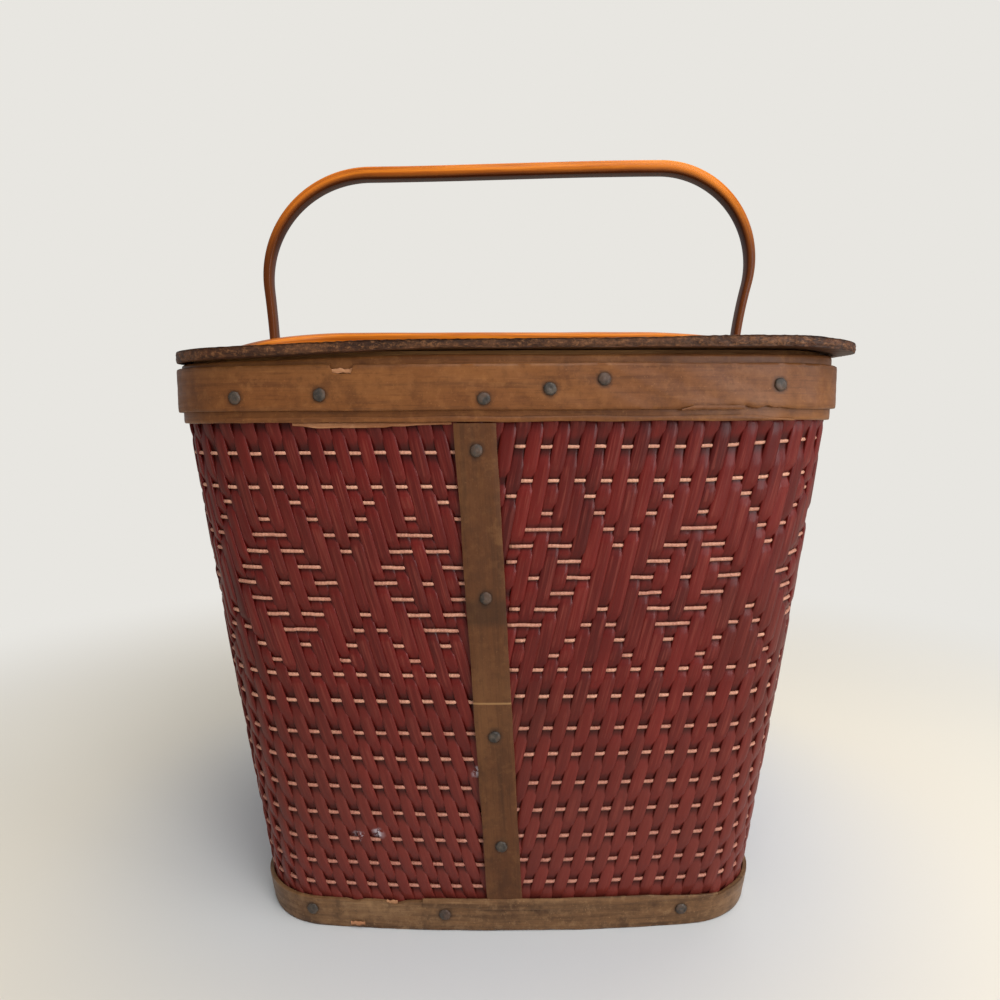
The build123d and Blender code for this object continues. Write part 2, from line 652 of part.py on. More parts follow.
def handle_bow(end):
    """One handle, standing upright at one end of the lid. The two are alike, turned end for end."""
    middle = Plane(origin=(0, end * PIVOT_Y + HANDLE_WIDTH / 2, PIVOT_Z), x_dir=(1, 0, 0), z_dir=(0, -1, 0))
    with BuildPart() as bow:
        with BuildSketch(middle):
            with BuildLine():
                for side, lean in ((end, FULL_LEAN), (-end, SLIGHT_LEAN)):
                    bow_edge(side, leg_outside, leg_outside + lean, bar_top)
                    bow_edge(side, handle_inside, leg_outside + lean - LEAN_THICKNESS, bar_bottom)
                    Line((side * handle_inside, 0), (side * leg_outside, 0))
            make_face()
        extrude(amount=HANDLE_WIDTH)
        rims = bow.faces().filter_by(Axis.Y).edges()
        chamfer(rims.filter_by(lambda e: e.center().Z > PIVOT_Z + HANDLE_EDGE), HANDLE_EDGE)
        for plane in pivot_planes(handle_inside):
            if plane.origin.Y * end > 0:
                with BuildSketch(plane):
                    Circle(EYE_RADIUS)
                extrude(amount=LEG_THICKNESS)
        for plane in pivot_planes(handle_inside - LEG_THICKNESS):
            with BuildSketch(plane):
                Circle(BOLT_RADIUS + BOLT_CLEARANCE)
            extrude(amount=3 * LEG_THICKNESS, mode=Mode.SUBTRACT)
    return bow.part


far_handle = handle_bow(1)
save(far_handle, "far_handle_bow")
near_pivots = Axis((0, -PIVOT_Y, PIVOT_Z), (1, 0, 0))
near_handle = handle_bow(-1).rotate(near_pivots, NEAR_HANDLE_REST - 90)
save(near_handle, "near_handle_bow")
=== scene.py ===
from math import atan, cos, hypot, pi, radians, sin, sqrt

import bpy
import numpy as np
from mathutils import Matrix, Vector


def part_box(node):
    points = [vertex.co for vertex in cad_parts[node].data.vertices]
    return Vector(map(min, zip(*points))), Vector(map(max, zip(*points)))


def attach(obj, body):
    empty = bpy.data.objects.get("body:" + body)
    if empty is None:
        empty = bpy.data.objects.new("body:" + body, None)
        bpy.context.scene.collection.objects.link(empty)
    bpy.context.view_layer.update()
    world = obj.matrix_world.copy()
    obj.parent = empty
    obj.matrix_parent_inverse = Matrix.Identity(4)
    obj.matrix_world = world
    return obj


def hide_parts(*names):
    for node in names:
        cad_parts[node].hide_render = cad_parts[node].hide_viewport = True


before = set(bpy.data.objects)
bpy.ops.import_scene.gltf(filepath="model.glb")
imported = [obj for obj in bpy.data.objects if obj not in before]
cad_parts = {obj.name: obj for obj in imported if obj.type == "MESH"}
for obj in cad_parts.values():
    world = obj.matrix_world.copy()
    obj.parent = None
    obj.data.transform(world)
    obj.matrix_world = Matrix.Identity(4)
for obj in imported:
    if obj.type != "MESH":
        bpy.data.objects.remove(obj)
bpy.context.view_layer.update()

MM = 0.001

# Sizes of the woven body at the base and under the rim, in millimetres
WIDTHS, DEPTHS = (249.0, 306.0), (236.0, 281.0)
CORNERS, FRONT_BOWS, SIDE_BOWS = (36.0, 42.0), (8.0, 7.0), (2.0, 1.5)
PROFILE_BULGE = 0.1
RIM_BOTTOM, RIM_TOP = 249.0, 278.0

# Heights of the rows of cord, and how they rise right of the seam
ROWS_ABOVE = [264.0, 250.0, 236.0, 221.0]
DIAMOND_TOP, DIAMOND_STEP, DIAMOND_ROWS = 214.0, 7.4, 11
DIAMOND_MIDDLE = DIAMOND_TOP - DIAMOND_STEP * (DIAMOND_ROWS // 2)
ROWS_BELOW = [133.0, 120.0, 104.0, 91.0, 76.0, 62.0, 48.0, 35.0, 23.0, 9.0]
ROW_HEIGHTS = ROWS_ABOVE + [DIAMOND_TOP - DIAMOND_STEP * k for k in range(DIAMOND_ROWS)] + ROWS_BELOW
RIGHT_LIFT = 2.5
CORNER_CLIMB, CLIMB_RUNS, CLIMB_HEIGHTS = 3.5, (70, 160, 220, 330), (110, 240)

# Splints under the cords, as steps from the middle of a diamond, from its top row to its middle row
DIAMOND = [{3}, {0, 4}, {0, 1, 5}, {1, 2, 6}, {2, 3}, {0, 3, 4}]
PERIOD = 12
# Sides of the seam, and the first splint of each, counted from the middle of the back
SIDES = ((1, 0), (-1, 1))
# Per side: splints from there to a diamond's middle at the front, its run, and how splints widen with height
STRIPS = {1: (88, 11.0, 0.002), -1: (88, -36.0, 0.0015)}

# Splints and cords, with depths as distances out from the body's outline
STRIP_LOW, STRIP_HIGH, STRIP_STEP = 2.0, 276.0, 2.1
STRIP_THICKNESS = 0.9
SPLINT_DEPTHS = (-0.5, -2.1)
HALF_WIDTH, DIP_NARROWING = 0.57, 0.03
SHINGLE = 0.26
SEAM_OVERLAP = 2.0
CORD_RADIUS, CORD_SIDES = 0.85, 6
CORD_OVER, CORD_UNDER = -0.85, -1.75
CORD_JITTER, CORD_FLAT, CORD_OVERLAP = 0.12, 0.3, 0.5
# Half of a splint's section: share of its half width, and share of its half thickness
SPLINT_SECTION = [
    (-1.0, 0.2), (-0.9, 0.85), (-0.4, 1.15), (0.4, 1.15), (0.9, 0.85), (1.0, 0.2), (0.9, -2.2), (-0.9, -2.2),
]
# Drops of white paint on the weave: run along the front, height and size
PAINT_DROPS = [(-73.0, 50.0, 2.0), (-63.5, 51.0, 2.2), (-14.5, 85.0, 1.8)]

# Batten over the seam
SEAM_TOP_X, SEAM_BASE_X = -14.0, -2.0
SEAM_TOP_Z, SEAM_BASE_Z = 249.0, 16.0
BATTEN = (16.3, 248.7, 0.1, 2.5)
BATTEN_WIDTHS = (17.5, 18.8)

# Hoops and base band: lower and upper height, and inner and outer distance out from the outline
WIDE_HOOP = (RIM_BOTTOM, RIM_TOP, 0.1, 2.3)
NAILED_HOOP = (254.0, 274.0, 2.4, 4.6)
BASE_BAND = (0.0, 16.0, 0.1, 2.5)
RIM_LEFT_DROP = 2.1
# Chips in the upper edge of the base band: run, width and depth
BASE_CHIPS = ((-55.0, 4.0, 1.4), (-75.0, 3.0, 1.0), (38.0, 30.0, 0.8), (104.0, 5.0, 1.2))
RIBBON_CELLS, RIBBON_ROW = 850, 1.4
ARRIS = 50

# Nails: share of the head's radius and height over the apex, from the top down
NAIL_SIDES = 20
NAIL_PROFILE = [
    (0.0, -0.12), (0.4, -0.1), (0.7, -0.16), (0.88, -0.32), (0.98, -0.62), (1.0, -0.9), (0.93, -1.02),
    (0.3, -1.02), (0.28, -2.6),
]
STAIN_RADIUS, STAIN_FADE, STAIN_SHARE = 4.5, 1.8, 0.85

# Lid
LID_DEPTH = 294.0
LID_FRONT_LEFT, LID_FRONT_RIGHT, LID_BACK = 42.0, 27.0, 38.0
LID_GRID = (90, 150)
LID_DROOP_LEFT, LID_DROOP_RIGHT = 1.95, 1.9
LID_INSET = 0.7
# Rings of the lid's edge: share of its height, and distance inside the outline
LID_RINGS = [(0.93, 0.28), (0.78, 0.06), (0.6, 0.12), (0.42, 0.0), (0.24, 0.1), (0.08, 0.3)]
# Corners of the inner hoop, inside of which the lid's underside stays level
HOOP_CORNER_X, HOOP_CORNER_Y, HOOP_CORNER_RADIUS = 112, 99.4, 38

# Handle, in the plane of its bow, from the pivots up
PIVOT_Y, PIVOT_Z = 76.0, 263.0
HANDLE_WIDTH, LEG_THICKNESS, LEAN_THICKNESS, BAR_THICKNESS = 12.0, 5.0, 5.6, 9.0
LEG_STRAIGHT, LEAN_HEIGHT, EYE_RADIUS = 9.6, 80.0, 8.0
FULL_LEAN, SLIGHT_LEAN = 9.0, 3.5
LEG_PLAY = 0.3
BAR_DROP, DROP_REACH = 3.4, 105
HANDLE_SIDES, HANDLE_ROUNDNESS = 20, 0.42
# Degrees above level at rest
FAR_HANDLE_REST, NEAR_HANDLE_REST = 90.0, 15.6


def between(low, high, share):
    """Value at a share of the way from low to high."""
    return low + (high - low) * share


def smooth(low, high, values):
    """0 below low, 1 above high, and a smooth step between."""
    share = np.clip((values - low) / (high - low), 0, 1)
    return share * share * (3 - 2 * share)


def hump(start, full, fall, end, values):
    """0 outside of start and end, 1 from full to fall, and smooth steps between."""
    return smooth(start, full, values) * (1 - smooth(fall, end, values))


def ripple(values, seed, length, octaves=3):
    """Smooth noise between about -1 and 1 along values, of a main wavelength."""
    rng = np.random.default_rng(seed)
    total, waves, gain = 0.0, 3, 1.7
    for octave in range(octaves):
        for _ in range(waves):
            size = length / 2**octave * rng.uniform(0.7, 1.5)
            total = total + np.sin(values * 2 * pi / size + rng.uniform(0, 2 * pi)) / 2**octave
    return total / (waves * (2 - 0.5 ** (octaves - 1))) * gain


class Outline:
    """Level outline of the woven body at one height: bowed sides joined by round corners."""

    def __init__(self, z):
        rise = min(max(z / RIM_BOTTOM, 0.0), 1.0)
        share = rise + PROFILE_BULGE * rise * (1 - rise)
        width, depth, corner, front_bow, side_bow = (
            between(*ends, share) for ends in (WIDTHS, DEPTHS, CORNERS, FRONT_BOWS, SIDE_BOWS)
        )
        half_x, half_y = width / 2, depth / 2
        front = ((half_x - front_bow) ** 2 + front_bow**2) / (2 * front_bow)
        side = ((half_y - side_bow) ** 2 + side_bow**2) / (2 * side_bow)
        # The corner's centre lies inside both arcs by its own radius
        across, along = half_x - side, half_y - front
        reach_front, reach_side = front - corner, side - corner
        apart = hypot(across, along)
        near = (reach_front**2 - reach_side**2 + apart**2) / (2 * apart)
        off = sqrt(reach_front**2 - near**2)
        x = (near * across - off * along) / apart
        y = along - (near * along + off * across) / apart
        self.front_turn = np.arctan2(x, y - along)
        self.side_turn = np.arctan2(y, x - across)
        self.radii = (front, corner, side)
        self.centres_x = (0.0, x, across)
        self.centres_y = (-along, -y, 0.0)
        self.front_length = front * self.front_turn
        self.corner_length = corner * (pi / 2 - self.front_turn - self.side_turn)
        self.quarter = self.front_length + self.corner_length + side * self.side_turn
        self.half = 2 * self.quarter

    def place(self, runs, out=0.0):
        """Points and outward directions at runs along the outline from the front's middle."""
        runs = np.asarray(runs, float)
        runs = (runs + self.half) % (2 * self.half) - self.half
        side = np.abs(runs)
        back = side > self.quarter
        side = np.where(back, 2 * self.quarter - side, side)
        past_front = side - self.front_length
        zones = [past_front < 0, past_front < self.corner_length]
        front, corner, flank = self.radii
        angle = np.select(
            zones,
            [side / front - pi / 2, self.front_turn - pi / 2 + past_front / corner],
            (past_front - self.corner_length) / flank - self.side_turn,
        )
        centre_x, centre_y, radius = (
            np.select(zones, parts[:2], parts[2]) for parts in (self.centres_x, self.centres_y, self.radii)
        )
        turn_x, turn_y = np.cos(angle), np.sin(angle)
        x, y = centre_x + (radius + out) * turn_x, centre_y + (radius + out) * turn_y
        left, rear = np.where(runs < 0, -1.0, 1.0), np.where(back, -1.0, 1.0)
        return x * left, y * rear, turn_x * left, turn_y * rear

    def point(self, run, out, z):
        """One point at a run along the outline, out from it, at a height."""
        x, y = self.place([run], out)[:2]
        return x[0], y[0], z


def add_object(name, data):
    thing = bpy.data.objects.new(name, data)
    bpy.context.scene.collection.objects.link(thing)
    return thing


def mesh_object(name, points, faces, body, finish, replaced=(), sharp=None, **attributes):
    """Mesh from points in millimetres and faces, riding on a body, with a finish."""
    mesh = bpy.data.meshes.new(name)
    mesh.from_pydata((np.asarray(points, float) * MM).tolist(), [], faces)
    mesh.validate()
    for key, values in attributes.items():
        values = np.asarray(values, float)
        kind, field = ("FLOAT", "value") if values.ndim == 1 else ("FLOAT_VECTOR", "vector")
        mesh.attributes.new(key, kind, "POINT").data.foreach_set(field, values.ravel())
    mesh.polygons.foreach_set("use_smooth", [True] * len(mesh.polygons))
    if sharp:
        mesh.set_sharp_from_angle(angle=radians(sharp))
    piece = add_object(name, mesh)
    mesh.materials.append(finish)
    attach(piece, body)
    if replaced:
        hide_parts(*replaced)
    return piece


def by_line(rows):
    """Rows with one value or point for each line, reordered line after line."""
    lines = np.swapaxes(np.array(rows), 0, 1)
    return lines.reshape(-1, *lines.shape[2:])


def rings(count, size, closed=False, first=0):
    """Quads between count rings of size points each, which lie one after another."""
    starts = [first + ring % count * size for ring in range(count + 1 if closed else count)]
    steps = [(k, (k + 1) % size) for k in range(size)]
    return [(a + k, a + step, b + step, b + k) for a, b in zip(starts, starts[1:]) for k, step in steps]


def tube(count, size, first=0):
    """Quads between rings, and a cap at each end."""
    end = first + (count - 1) * size
    caps = [tuple(range(first, first + size))[::-1], tuple(range(end, end + size))]
    return rings(count, size, first=first) + caps


# Materials, with their colours in sRGB from 0 to 255


def srgb(red, green, blue):
    """Linear colour of an sRGB one."""
    parts = [v / 255 for v in (red, green, blue)]
    return tuple(v / 12.92 if v <= 0.04045 else ((v + 0.055) / 1.055) ** 2.4 for v in parts) + (1.0,)


class Nodes:
    """Node tree of one new material, with short ways to add to it."""

    MIX_SHARE, MIX_A, MIX_B, MIX_RESULT = 0, 6, 7, 2

    def __init__(self, name, rough=0.5, coat=0.0, coat_rough=0.2, metal=0.0, specular=0.5):
        self.material = bpy.data.materials.new(name)
        self.material.use_nodes = True
        self.tree = self.material.node_tree
        self.shader = self.tree.nodes["Principled BSDF"]
        for socket, value in (
            ("Roughness", rough), ("Metallic", metal), ("Specular IOR Level", specular),
            ("Coat Weight", coat), ("Coat Roughness", coat_rough),
        ):
            self.put(self.shader.inputs[socket], value)

    def put(self, socket, value):
        """Links another node's output to a socket, or sets it to a plain value."""
        if isinstance(value, bpy.types.NodeSocket):
            self.tree.links.new(value, socket)
        else:
            socket.default_value = value

    def add(self, kind, **values):
        """Adds a node; values are properties or, where there is none, inputs by name."""
        node = self.tree.nodes.new("ShaderNode" + kind)
        for key, value in values.items():
            if hasattr(node, key):
                setattr(node, key, value)
            else:
                self.put(node.inputs[key.replace("_", " ")], value)
        return node

    def attribute(self, name, output="Fac"):
        return self.add("Attribute", attribute_name=name).outputs[output]

    def place(self):
        return self.add("TexCoord").outputs["Object"]

    def height(self):
        return self.add("SeparateXYZ", Vector=self.place()).outputs["Z"]

    def stretched(self, source, scale):
        return self.add("Mapping", Scale=scale, Vector=source).outputs["Vector"]

    def noise(self, source, scale, detail, rough, stretch=(1, 1, 1)):
        vector = self.stretched(source, stretch)
        node = self.add("TexNoise", Scale=scale, Detail=detail, Roughness=rough, Vector=vector)
        return node.outputs["Fac"]

    def span(self, source, low, high, to_low=0.0, to_high=1.0):
        """Smooth step of a source from low to high, or down to a lower high."""
        node = self.add(
            "MapRange", interpolation_type="SMOOTHSTEP", Value=source, From_Min=low, From_Max=high,
            To_Min=to_low, To_Max=to_high,
        )
        return node.outputs["Result"]

    def math(self, operation, a, b=0.0):
        node = self.add("Math", operation=operation)
        self.put(node.inputs[0], a)
        self.put(node.inputs[1], b)
        return node.outputs["Value"]

    def times(self, a, b):
        return self.math("MULTIPLY", a, b)

    def mix(self, share, a, b):
        """Mix of two colours, each a source or an sRGB colour."""
        node = self.add("Mix", data_type="RGBA")
        self.put(node.inputs[self.MIX_SHARE], share)
        for socket, colour in ((self.MIX_A, a), (self.MIX_B, b)):
            self.put(node.inputs[socket], srgb(*colour) if isinstance(colour, tuple) else colour)
        return node.outputs[self.MIX_RESULT]

    def layers(self, colour, *layers):
        """Lays colours over one, each with a source, the span where it comes in, and its full share."""
        for source, low, high, share, over in layers:
            colour = self.mix(self.times(self.span(source, low, high), share), colour, over)
        return colour

    def finish(self, colour, relief, depth, strength, rough=None):
        """Gives the shader its colour, its relief in metres, and its roughness."""
        bump = self.add("Bump", Strength=strength, Distance=depth, Height=relief)
        self.put(self.shader.inputs["Normal"], bump.outputs["Normal"])
        self.put(self.shader.inputs["Base Color"], colour)
        if rough is not None:
            self.put(self.shader.inputs["Roughness"], rough)
        return self.material


def wood(
    name, base, dark, light, rough, coat=0.0, stain=None, streak=(0.32, 0.72), mottle=0.0, fleck=0.5, marks=(),
    along=None, fibrous=False,
):
    """Wood with grain along its grain coordinates, or through the object, and wear, pores and stains."""
    n = Nodes(name, rough=rough, coat=coat, coat_rough=0.3, specular=0.15)
    source = n.attribute("grain", "Vector") if along is None else n.stretched(n.place(), along)
    streaks = n.noise(source, 60.0, 5.0, 0.65, (0.25, 6.0, 6.0))
    fine = n.noise(source, 400.0, 3.0, 0.7, (0.12, 3.0, 3.0))
    blotch = n.noise(source, 22.0, 3.0, 0.55, (0.6, 1.6, 1.6))
    scratch = n.noise(source, 700.0, 1.0, 0.5, (0.05, 1.6, 1.6))
    colour = n.layers(
        n.mix(n.span(streaks, *streak), dark, base),
        (blotch, 0.45, 0.75, 0.55, light),
        (blotch, 0.42, 0.22, 0.5, dark),
        (fine, 0.5, 0.75, fleck, dark),
        (scratch, 0.72, 0.8, 0.6, light),
    )
    if mottle:
        patches = n.noise(n.place(), 55.0, 6.0, 0.72)
        grime = n.noise(n.place(), 230.0, 4.0, 0.7)
        colour = n.layers(
            colour,
            (patches, 0.5, 0.68, mottle, dark),
            (patches, 0.44, 0.3, mottle, light),
            (grime, 0.52, 0.66, 0.5 * mottle, dark),
            (grime, 0.48, 0.36, 0.4 * mottle, light),
            (n.noise(n.place(), 900.0, 2.0, 0.6), 0.66, 0.74, mottle, light),
        )
    for height, half, fade, mark, share in marks:
        off = n.math("ABSOLUTE", n.math("SUBTRACT", n.height(), height * MM))
        colour = n.layers(colour, (off, (half + fade) * MM, half * MM, share, mark))
    if stain:
        ring = n.times(n.attribute("stain"), n.span(blotch, 0.15, 0.6, 0.55, 1.0))
        colour = n.mix(ring, colour, stain)
    dull = n.math("ADD", streaks, n.times(blotch, 0.6))
    relief = n.math("ADD", n.times(streaks, 0.7), n.times(fine, 0.5))
    if fibrous:
        edge, fuzz = n.attribute("edge"), n.noise(n.place(), 420.0, 5.0, 0.75, (1, 1, 1.8))
        colour = n.layers(
            colour, (fuzz, 0.5, 0.64, n.times(edge, 0.75), light), (fuzz, 0.47, 0.36, n.times(edge, 0.8), dark)
        )
        relief = n.math("ADD", relief, n.times(edge, n.times(fuzz, 5.0)))
    return n.finish(colour, relief, 0.00025, 0.55, n.span(dull, 0.5, 1.1, rough + 0.14, rough - 0.1))


def weave_paint():
    """Worn burgundy paint: grain, faded high spots, painted shade in the dips, a dusty foot and white drops."""
    n = Nodes("burgundy_splints", rough=0.4, coat=0.16, coat_rough=0.22, specular=0.12)
    grain, lift = n.attribute("grain", "Vector"), n.attribute("lift")
    streaks = n.noise(grain, 90.0, 4.0, 0.6, (0.3, 7.0, 7.0))
    fine = n.noise(grain, 500.0, 2.0, 0.6, (0.1, 3.0, 3.0))
    cloud = n.noise(n.place(), 14.0, 3.0, 0.5)
    deep = (50, 10, 9)
    colour = n.layers(
        n.mix(n.attribute("tone"), deep, (98, 22, 18)),
        (streaks, 0.35, 0.75, 0.32, (120, 38, 30)),
        (cloud, 0.52, 0.7, 0.45, (76, 26, 19)),
        (fine, 0.55, 0.8, 0.35, deep),
        (n.math("ADD", fine, streaks), 0.95, 1.4, n.times(n.span(lift, 0.75, 1.05), 0.4), (140, 72, 60)),
        (n.height(), 0.15, 0.03, 0.5, (110, 51, 42)),
        (n.noise(n.place(), 420.0, 3.0, 0.7), 0.45, 0.49, n.attribute("drops"), (206, 196, 204)),
        # Painted shade: dark red laid where the splint dips under a cord
        (lift, 0.5, 0.0, 0.75, (40, 9, 7)),
    )
    rough = n.span(n.math("ADD", streaks, n.times(cloud, 0.5)), 0.4, 1.0, 0.36, 0.56)
    return n.finish(colour, n.math("ADD", n.times(streaks, 0.6), fine), 0.0002, 0.5, rough)


def cord_finish():
    """Twisted natural cord, pinkish from the paint beside it and darker towards the base."""
    n = Nodes("natural_cord", rough=0.62, coat=0.1)
    grain = n.attribute("grain", "Vector")
    around = n.stretched(grain, (1.0, 0.6, 0.6))
    twist = n.add("TexWave", Scale=170.0, Distortion=2.5, Detail=2.0, Vector=around).outputs["Fac"]
    fuzz = n.noise(grain, 300.0, 3.0, 0.6, (0.5, 3, 3))
    colour = n.mix(n.attribute("tone"), (160, 100, 82), (200, 146, 120))
    colour = n.layers(colour, (fuzz, 0.52, 0.8, 0.6, (150, 78, 62)))
    colour = n.mix(n.times(twist, 0.16), colour, (128, 72, 54))
    colour = n.layers(colour, (n.height(), 0.12, 0.01, 0.5, (140, 74, 62)))
    return n.finish(colour, n.math("ADD", twist, fuzz), 0.00018, 0.6)


def varnish():
    """Amber varnish over bent wood, darker where hands and bends have browned it, and with painted shade where an
    underside is marked.
    """
    n = Nodes("amber_varnish", rough=0.38, coat=0.12, coat_rough=0.14, specular=0.06)
    grain = n.attribute("grain", "Vector")
    streaks = n.noise(grain, 70.0, 5.0, 0.6, (0.12, 5.0, 5.0))
    fine = n.noise(grain, 420.0, 2.0, 0.6, (0.06, 2.5, 2.5))
    colour = n.layers(
        n.mix(n.span(streaks, 0.3, 0.72), (166, 82, 22), (226, 132, 36)),
        (fine, 0.5, 0.72, 0.4, (120, 54, 16)),
        (n.noise(grain, 16.0, 3.0, 0.5, (0.5, 2, 2)), 0.55, 0.75, 0.45, (226, 134, 52)),
    )
    # Browned legs, and painted shade on the far handle's underside, from the same attribute
    colour = n.mix(n.times(n.attribute("age"), 0.95), colour, (58, 24, 12))
    return n.finish(colour, n.math("ADD", streaks, fine), 0.00018, 0.35, n.span(streaks, 0.3, 0.8, 0.24, 0.4))


def metal(name, base, dark, rust, rough, shine, rust_share):
    """Aged metal with dull patches and rust."""
    n = Nodes(name, rough=rough, metal=shine)
    patch = n.noise(n.place(), 260.0, 4.0, 0.65)
    pits = n.noise(n.place(), 1300.0, 3.0, 0.6)
    rusty = n.math("ADD", patch, n.noise(n.place(), 45.0, 2.0, 0.5))
    colour = n.layers(n.mix(n.span(patch, 0.35, 0.65), dark, base), (rusty, 0.95, 1.15, rust_share, rust))
    rough_map = n.span(pits, 0.3, 0.7, rough - 0.1, rough + 0.15)
    return n.finish(colour, n.math("ADD", pits, patch), 0.00012, 0.5, rough_map)


rim_wood = wood(
    "rim_splint_wood", (110, 66, 32), (76, 43, 21), (142, 94, 52), 0.46, 0.15, (38, 25, 18), (0.16, 0.56), 0.55
)
batten_wood = wood(
    "batten_splint_wood", (84, 49, 25), (60, 35, 18), (106, 70, 40), 0.48, 0.12, (40, 27, 19), (0.18, 0.58), 0.6,
    marks=((164.0, 3.5, 5.0, (52, 31, 16), 0.6), (120.4, 0.2, 0.5, (160, 122, 80), 0.6)),
)
base_wood = wood(
    "base_splint_wood", (110, 78, 50), (66, 44, 28), (146, 112, 78), 0.5, 0.1, (38, 26, 20), (0.2, 0.62), 0.7
)
lid_wood = wood(
    "lid_board_wood", (86, 50, 29), (44, 25, 15), (128, 86, 54), 0.5, 0.12, (28, 18, 13), mottle=0.5, fleck=0.7,
    fibrous=True,
)
reed_wood = wood("light_reed", (176, 124, 88), (124, 76, 46), (206, 158, 118), 0.55, mottle=0.4)
inner_wood_x, inner_wood_z = (
    wood(name, (160, 112, 66), (108, 70, 38), (184, 140, 90), 0.6, along=along)
    for name, along in (("raw_wood_level", (1, 1, 1)), ("raw_wood_upright", (1, 1, 0.05)))
)
splint_paint, cord_look, handle_look = weave_paint(), cord_finish(), varnish()
nail_look = metal("dark_nail_steel", (76, 66, 56), (40, 34, 29), (74, 46, 29), 0.55, 0.15, 0.55)
bolt_look = metal("dull_bolt_steel", (150, 148, 144), (92, 90, 88), (104, 66, 44), 0.4, 0.9, 0.5)
brass_look = metal("aged_hinge_brass", (176, 140, 76), (104, 76, 38), (70, 52, 34), 0.38, 0.95, 0.7)


# Weave


def seam_x(z):
    """Middle of the seam on the front at a height."""
    return SEAM_BASE_X + (SEAM_TOP_X - SEAM_BASE_X) * (z - SEAM_BASE_Z) / (SEAM_TOP_Z - SEAM_BASE_Z)


def pitch(side, z):
    """Width of one splint along the outline, on one side of the seam."""
    count, run, slope = STRIPS[side]
    middle = (Outline(DIAMOND_MIDDLE).half - abs(run)) / count
    return middle + slope * (z - DIAMOND_MIDDLE)


def cord_is_over(row, side, count):
    """Whether the cord of a row lies over a splint of a side."""
    away = abs((STRIPS[side][0] - count + PERIOD // 2) % PERIOD - PERIOD // 2)
    inside = row - len(ROWS_ABOVE)
    if 0 <= inside < DIAMOND_ROWS:
        return away in DIAMOND[min(inside, DIAMOND_ROWS - 1 - inside)]
    if inside < 0:
        return away % 2 != -inside % 2
    return away % 2 == (inside - DIAMOND_ROWS) % 2


def row_height(row, run, half):
    """Height of a cord, which lies higher right of the seam and climbs to the right corner."""
    height = ROW_HEIGHTS[row]
    climb = CORNER_CLIMB * hump(*CLIMB_RUNS, run) * smooth(*CLIMB_HEIGHTS, height)
    return height + climb + RIGHT_LIFT * np.where(run > 0, 1 - run / half, 0)


def row_reach(row):
    """Half the height over which a splint bends under the cord of a row."""
    return 0.8 * min(abs(ROW_HEIGHTS[row] - ROW_HEIGHTS[k]) for k in (row - 1, row + 1) if 0 <= k < len(ROW_HEIGHTS))


def strip_list():
    """Every splint as its side and its count from the middle of the back."""
    reach = Outline(STRIP_HIGH).half + abs(SEAM_TOP_X)
    return [(side, k) for side, first in SIDES for k in range(first, int(reach / pitch(side, STRIP_HIGH)) + 3)]


def make_splints():
    """The burgundy splints, each a closed ribbon that dips under the cords."""
    strips = strip_list()
    sides, counts = np.array(strips, float).T
    over = np.array([[cord_is_over(row, side, k) for side, k in strips] for row in range(len(ROW_HEIGHTS))])
    heights = np.arange(STRIP_LOW, STRIP_HIGH, STRIP_STEP)
    rng = np.random.default_rng(11)
    tone = np.clip(rng.normal(0.64, 0.14, len(strips)), 0.05, 1)
    roll = rng.normal(0, 0.06, len(strips))
    phase = rng.uniform(0, 300, len(strips))
    points, grain, tones, lifts, drops, valid = [], [], [], [], [], []
    for z in heights:
        outline = Outline(z)
        width = np.where(sides > 0, pitch(1, z), pitch(-1, z))
        runs = sides * (outline.half - counts * width)
        right = np.where(sides > 0, np.maximum(runs, 0.01), -1.0)
        dip = np.zeros(len(strips))
        for row, is_over in enumerate(over):
            away = np.abs(z - row_height(row, right, outline.half)) / row_reach(row)
            dip = np.maximum(dip, np.where(is_over, 0.5 * (1 + np.cos(pi * np.minimum(away, 1))), 0))
        depth = between(*SPLINT_DEPTHS, dip)
        half_width = width * (HALF_WIDTH - DIP_NARROWING * dip)
        tilt = SHINGLE + roll + 0.06 * ripple(z + phase, 5, 60.0, 2)
        for share, thick in SPLINT_SECTION:
            across = share * half_width
            inward = 1 - dip if thick < -1 else 0
            out = depth + (thick - inward) * STRIP_THICKNESS / 2 + tilt * share * (1 - dip)
            x, y, turn_x, turn_y = outline.place(runs + across)
            level = np.full_like(x, z)
            points.append(np.stack([x + turn_x * out, y + turn_y * out, level], 1))
            grain.append(np.stack([level, across + counts * 17.0 * sides, np.full_like(x, thick)], 1) * MM)
            tones.append(np.clip(tone + 0.15 * ripple(z + phase, 8, 90.0, 2), 0, 1))
            # How far the splint stands out of its dips: the paint is worn where it is high and gets painted shade
            # where it is low
            lifts.append((1 - dip) * (0.8 + 0.25 * (thick > 1)))
            away = [np.hypot(runs + across - run, z - height) / size for run, height, size in PAINT_DROPS]
            drops.append(1 - smooth(0.5, 1.3, np.min(away, axis=0)))
        valid.append(sides * (runs - seam_x(z)) > -SEAM_OVERLAP)
    levels, size = len(heights), len(SPLINT_SECTION)
    faces, keep = [], np.zeros(len(strips) * levels * size, bool)
    for strip, stands in enumerate(np.array(valid).T):
        good = np.flatnonzero(stands)
        if len(good) < 3:
            continue
        first, count = (strip * levels + good[0]) * size, good[-1] - good[0] + 1
        faces += tube(count, size, first)
        keep[first:first + count * size] = True
    new_index = np.cumsum(keep) - 1
    faces = [tuple(int(new_index[v]) for v in face) for face in faces]
    points, grain, tones, lifts, drops = (by_line(rows)[keep] for rows in (points, grain, tones, lifts, drops))
    piece = mesh_object(
        "weave_splints", points, faces, "basket", splint_paint, ("woven_wall",), grain=grain, tone=tones,
        lift=lifts, drops=drops,
    )


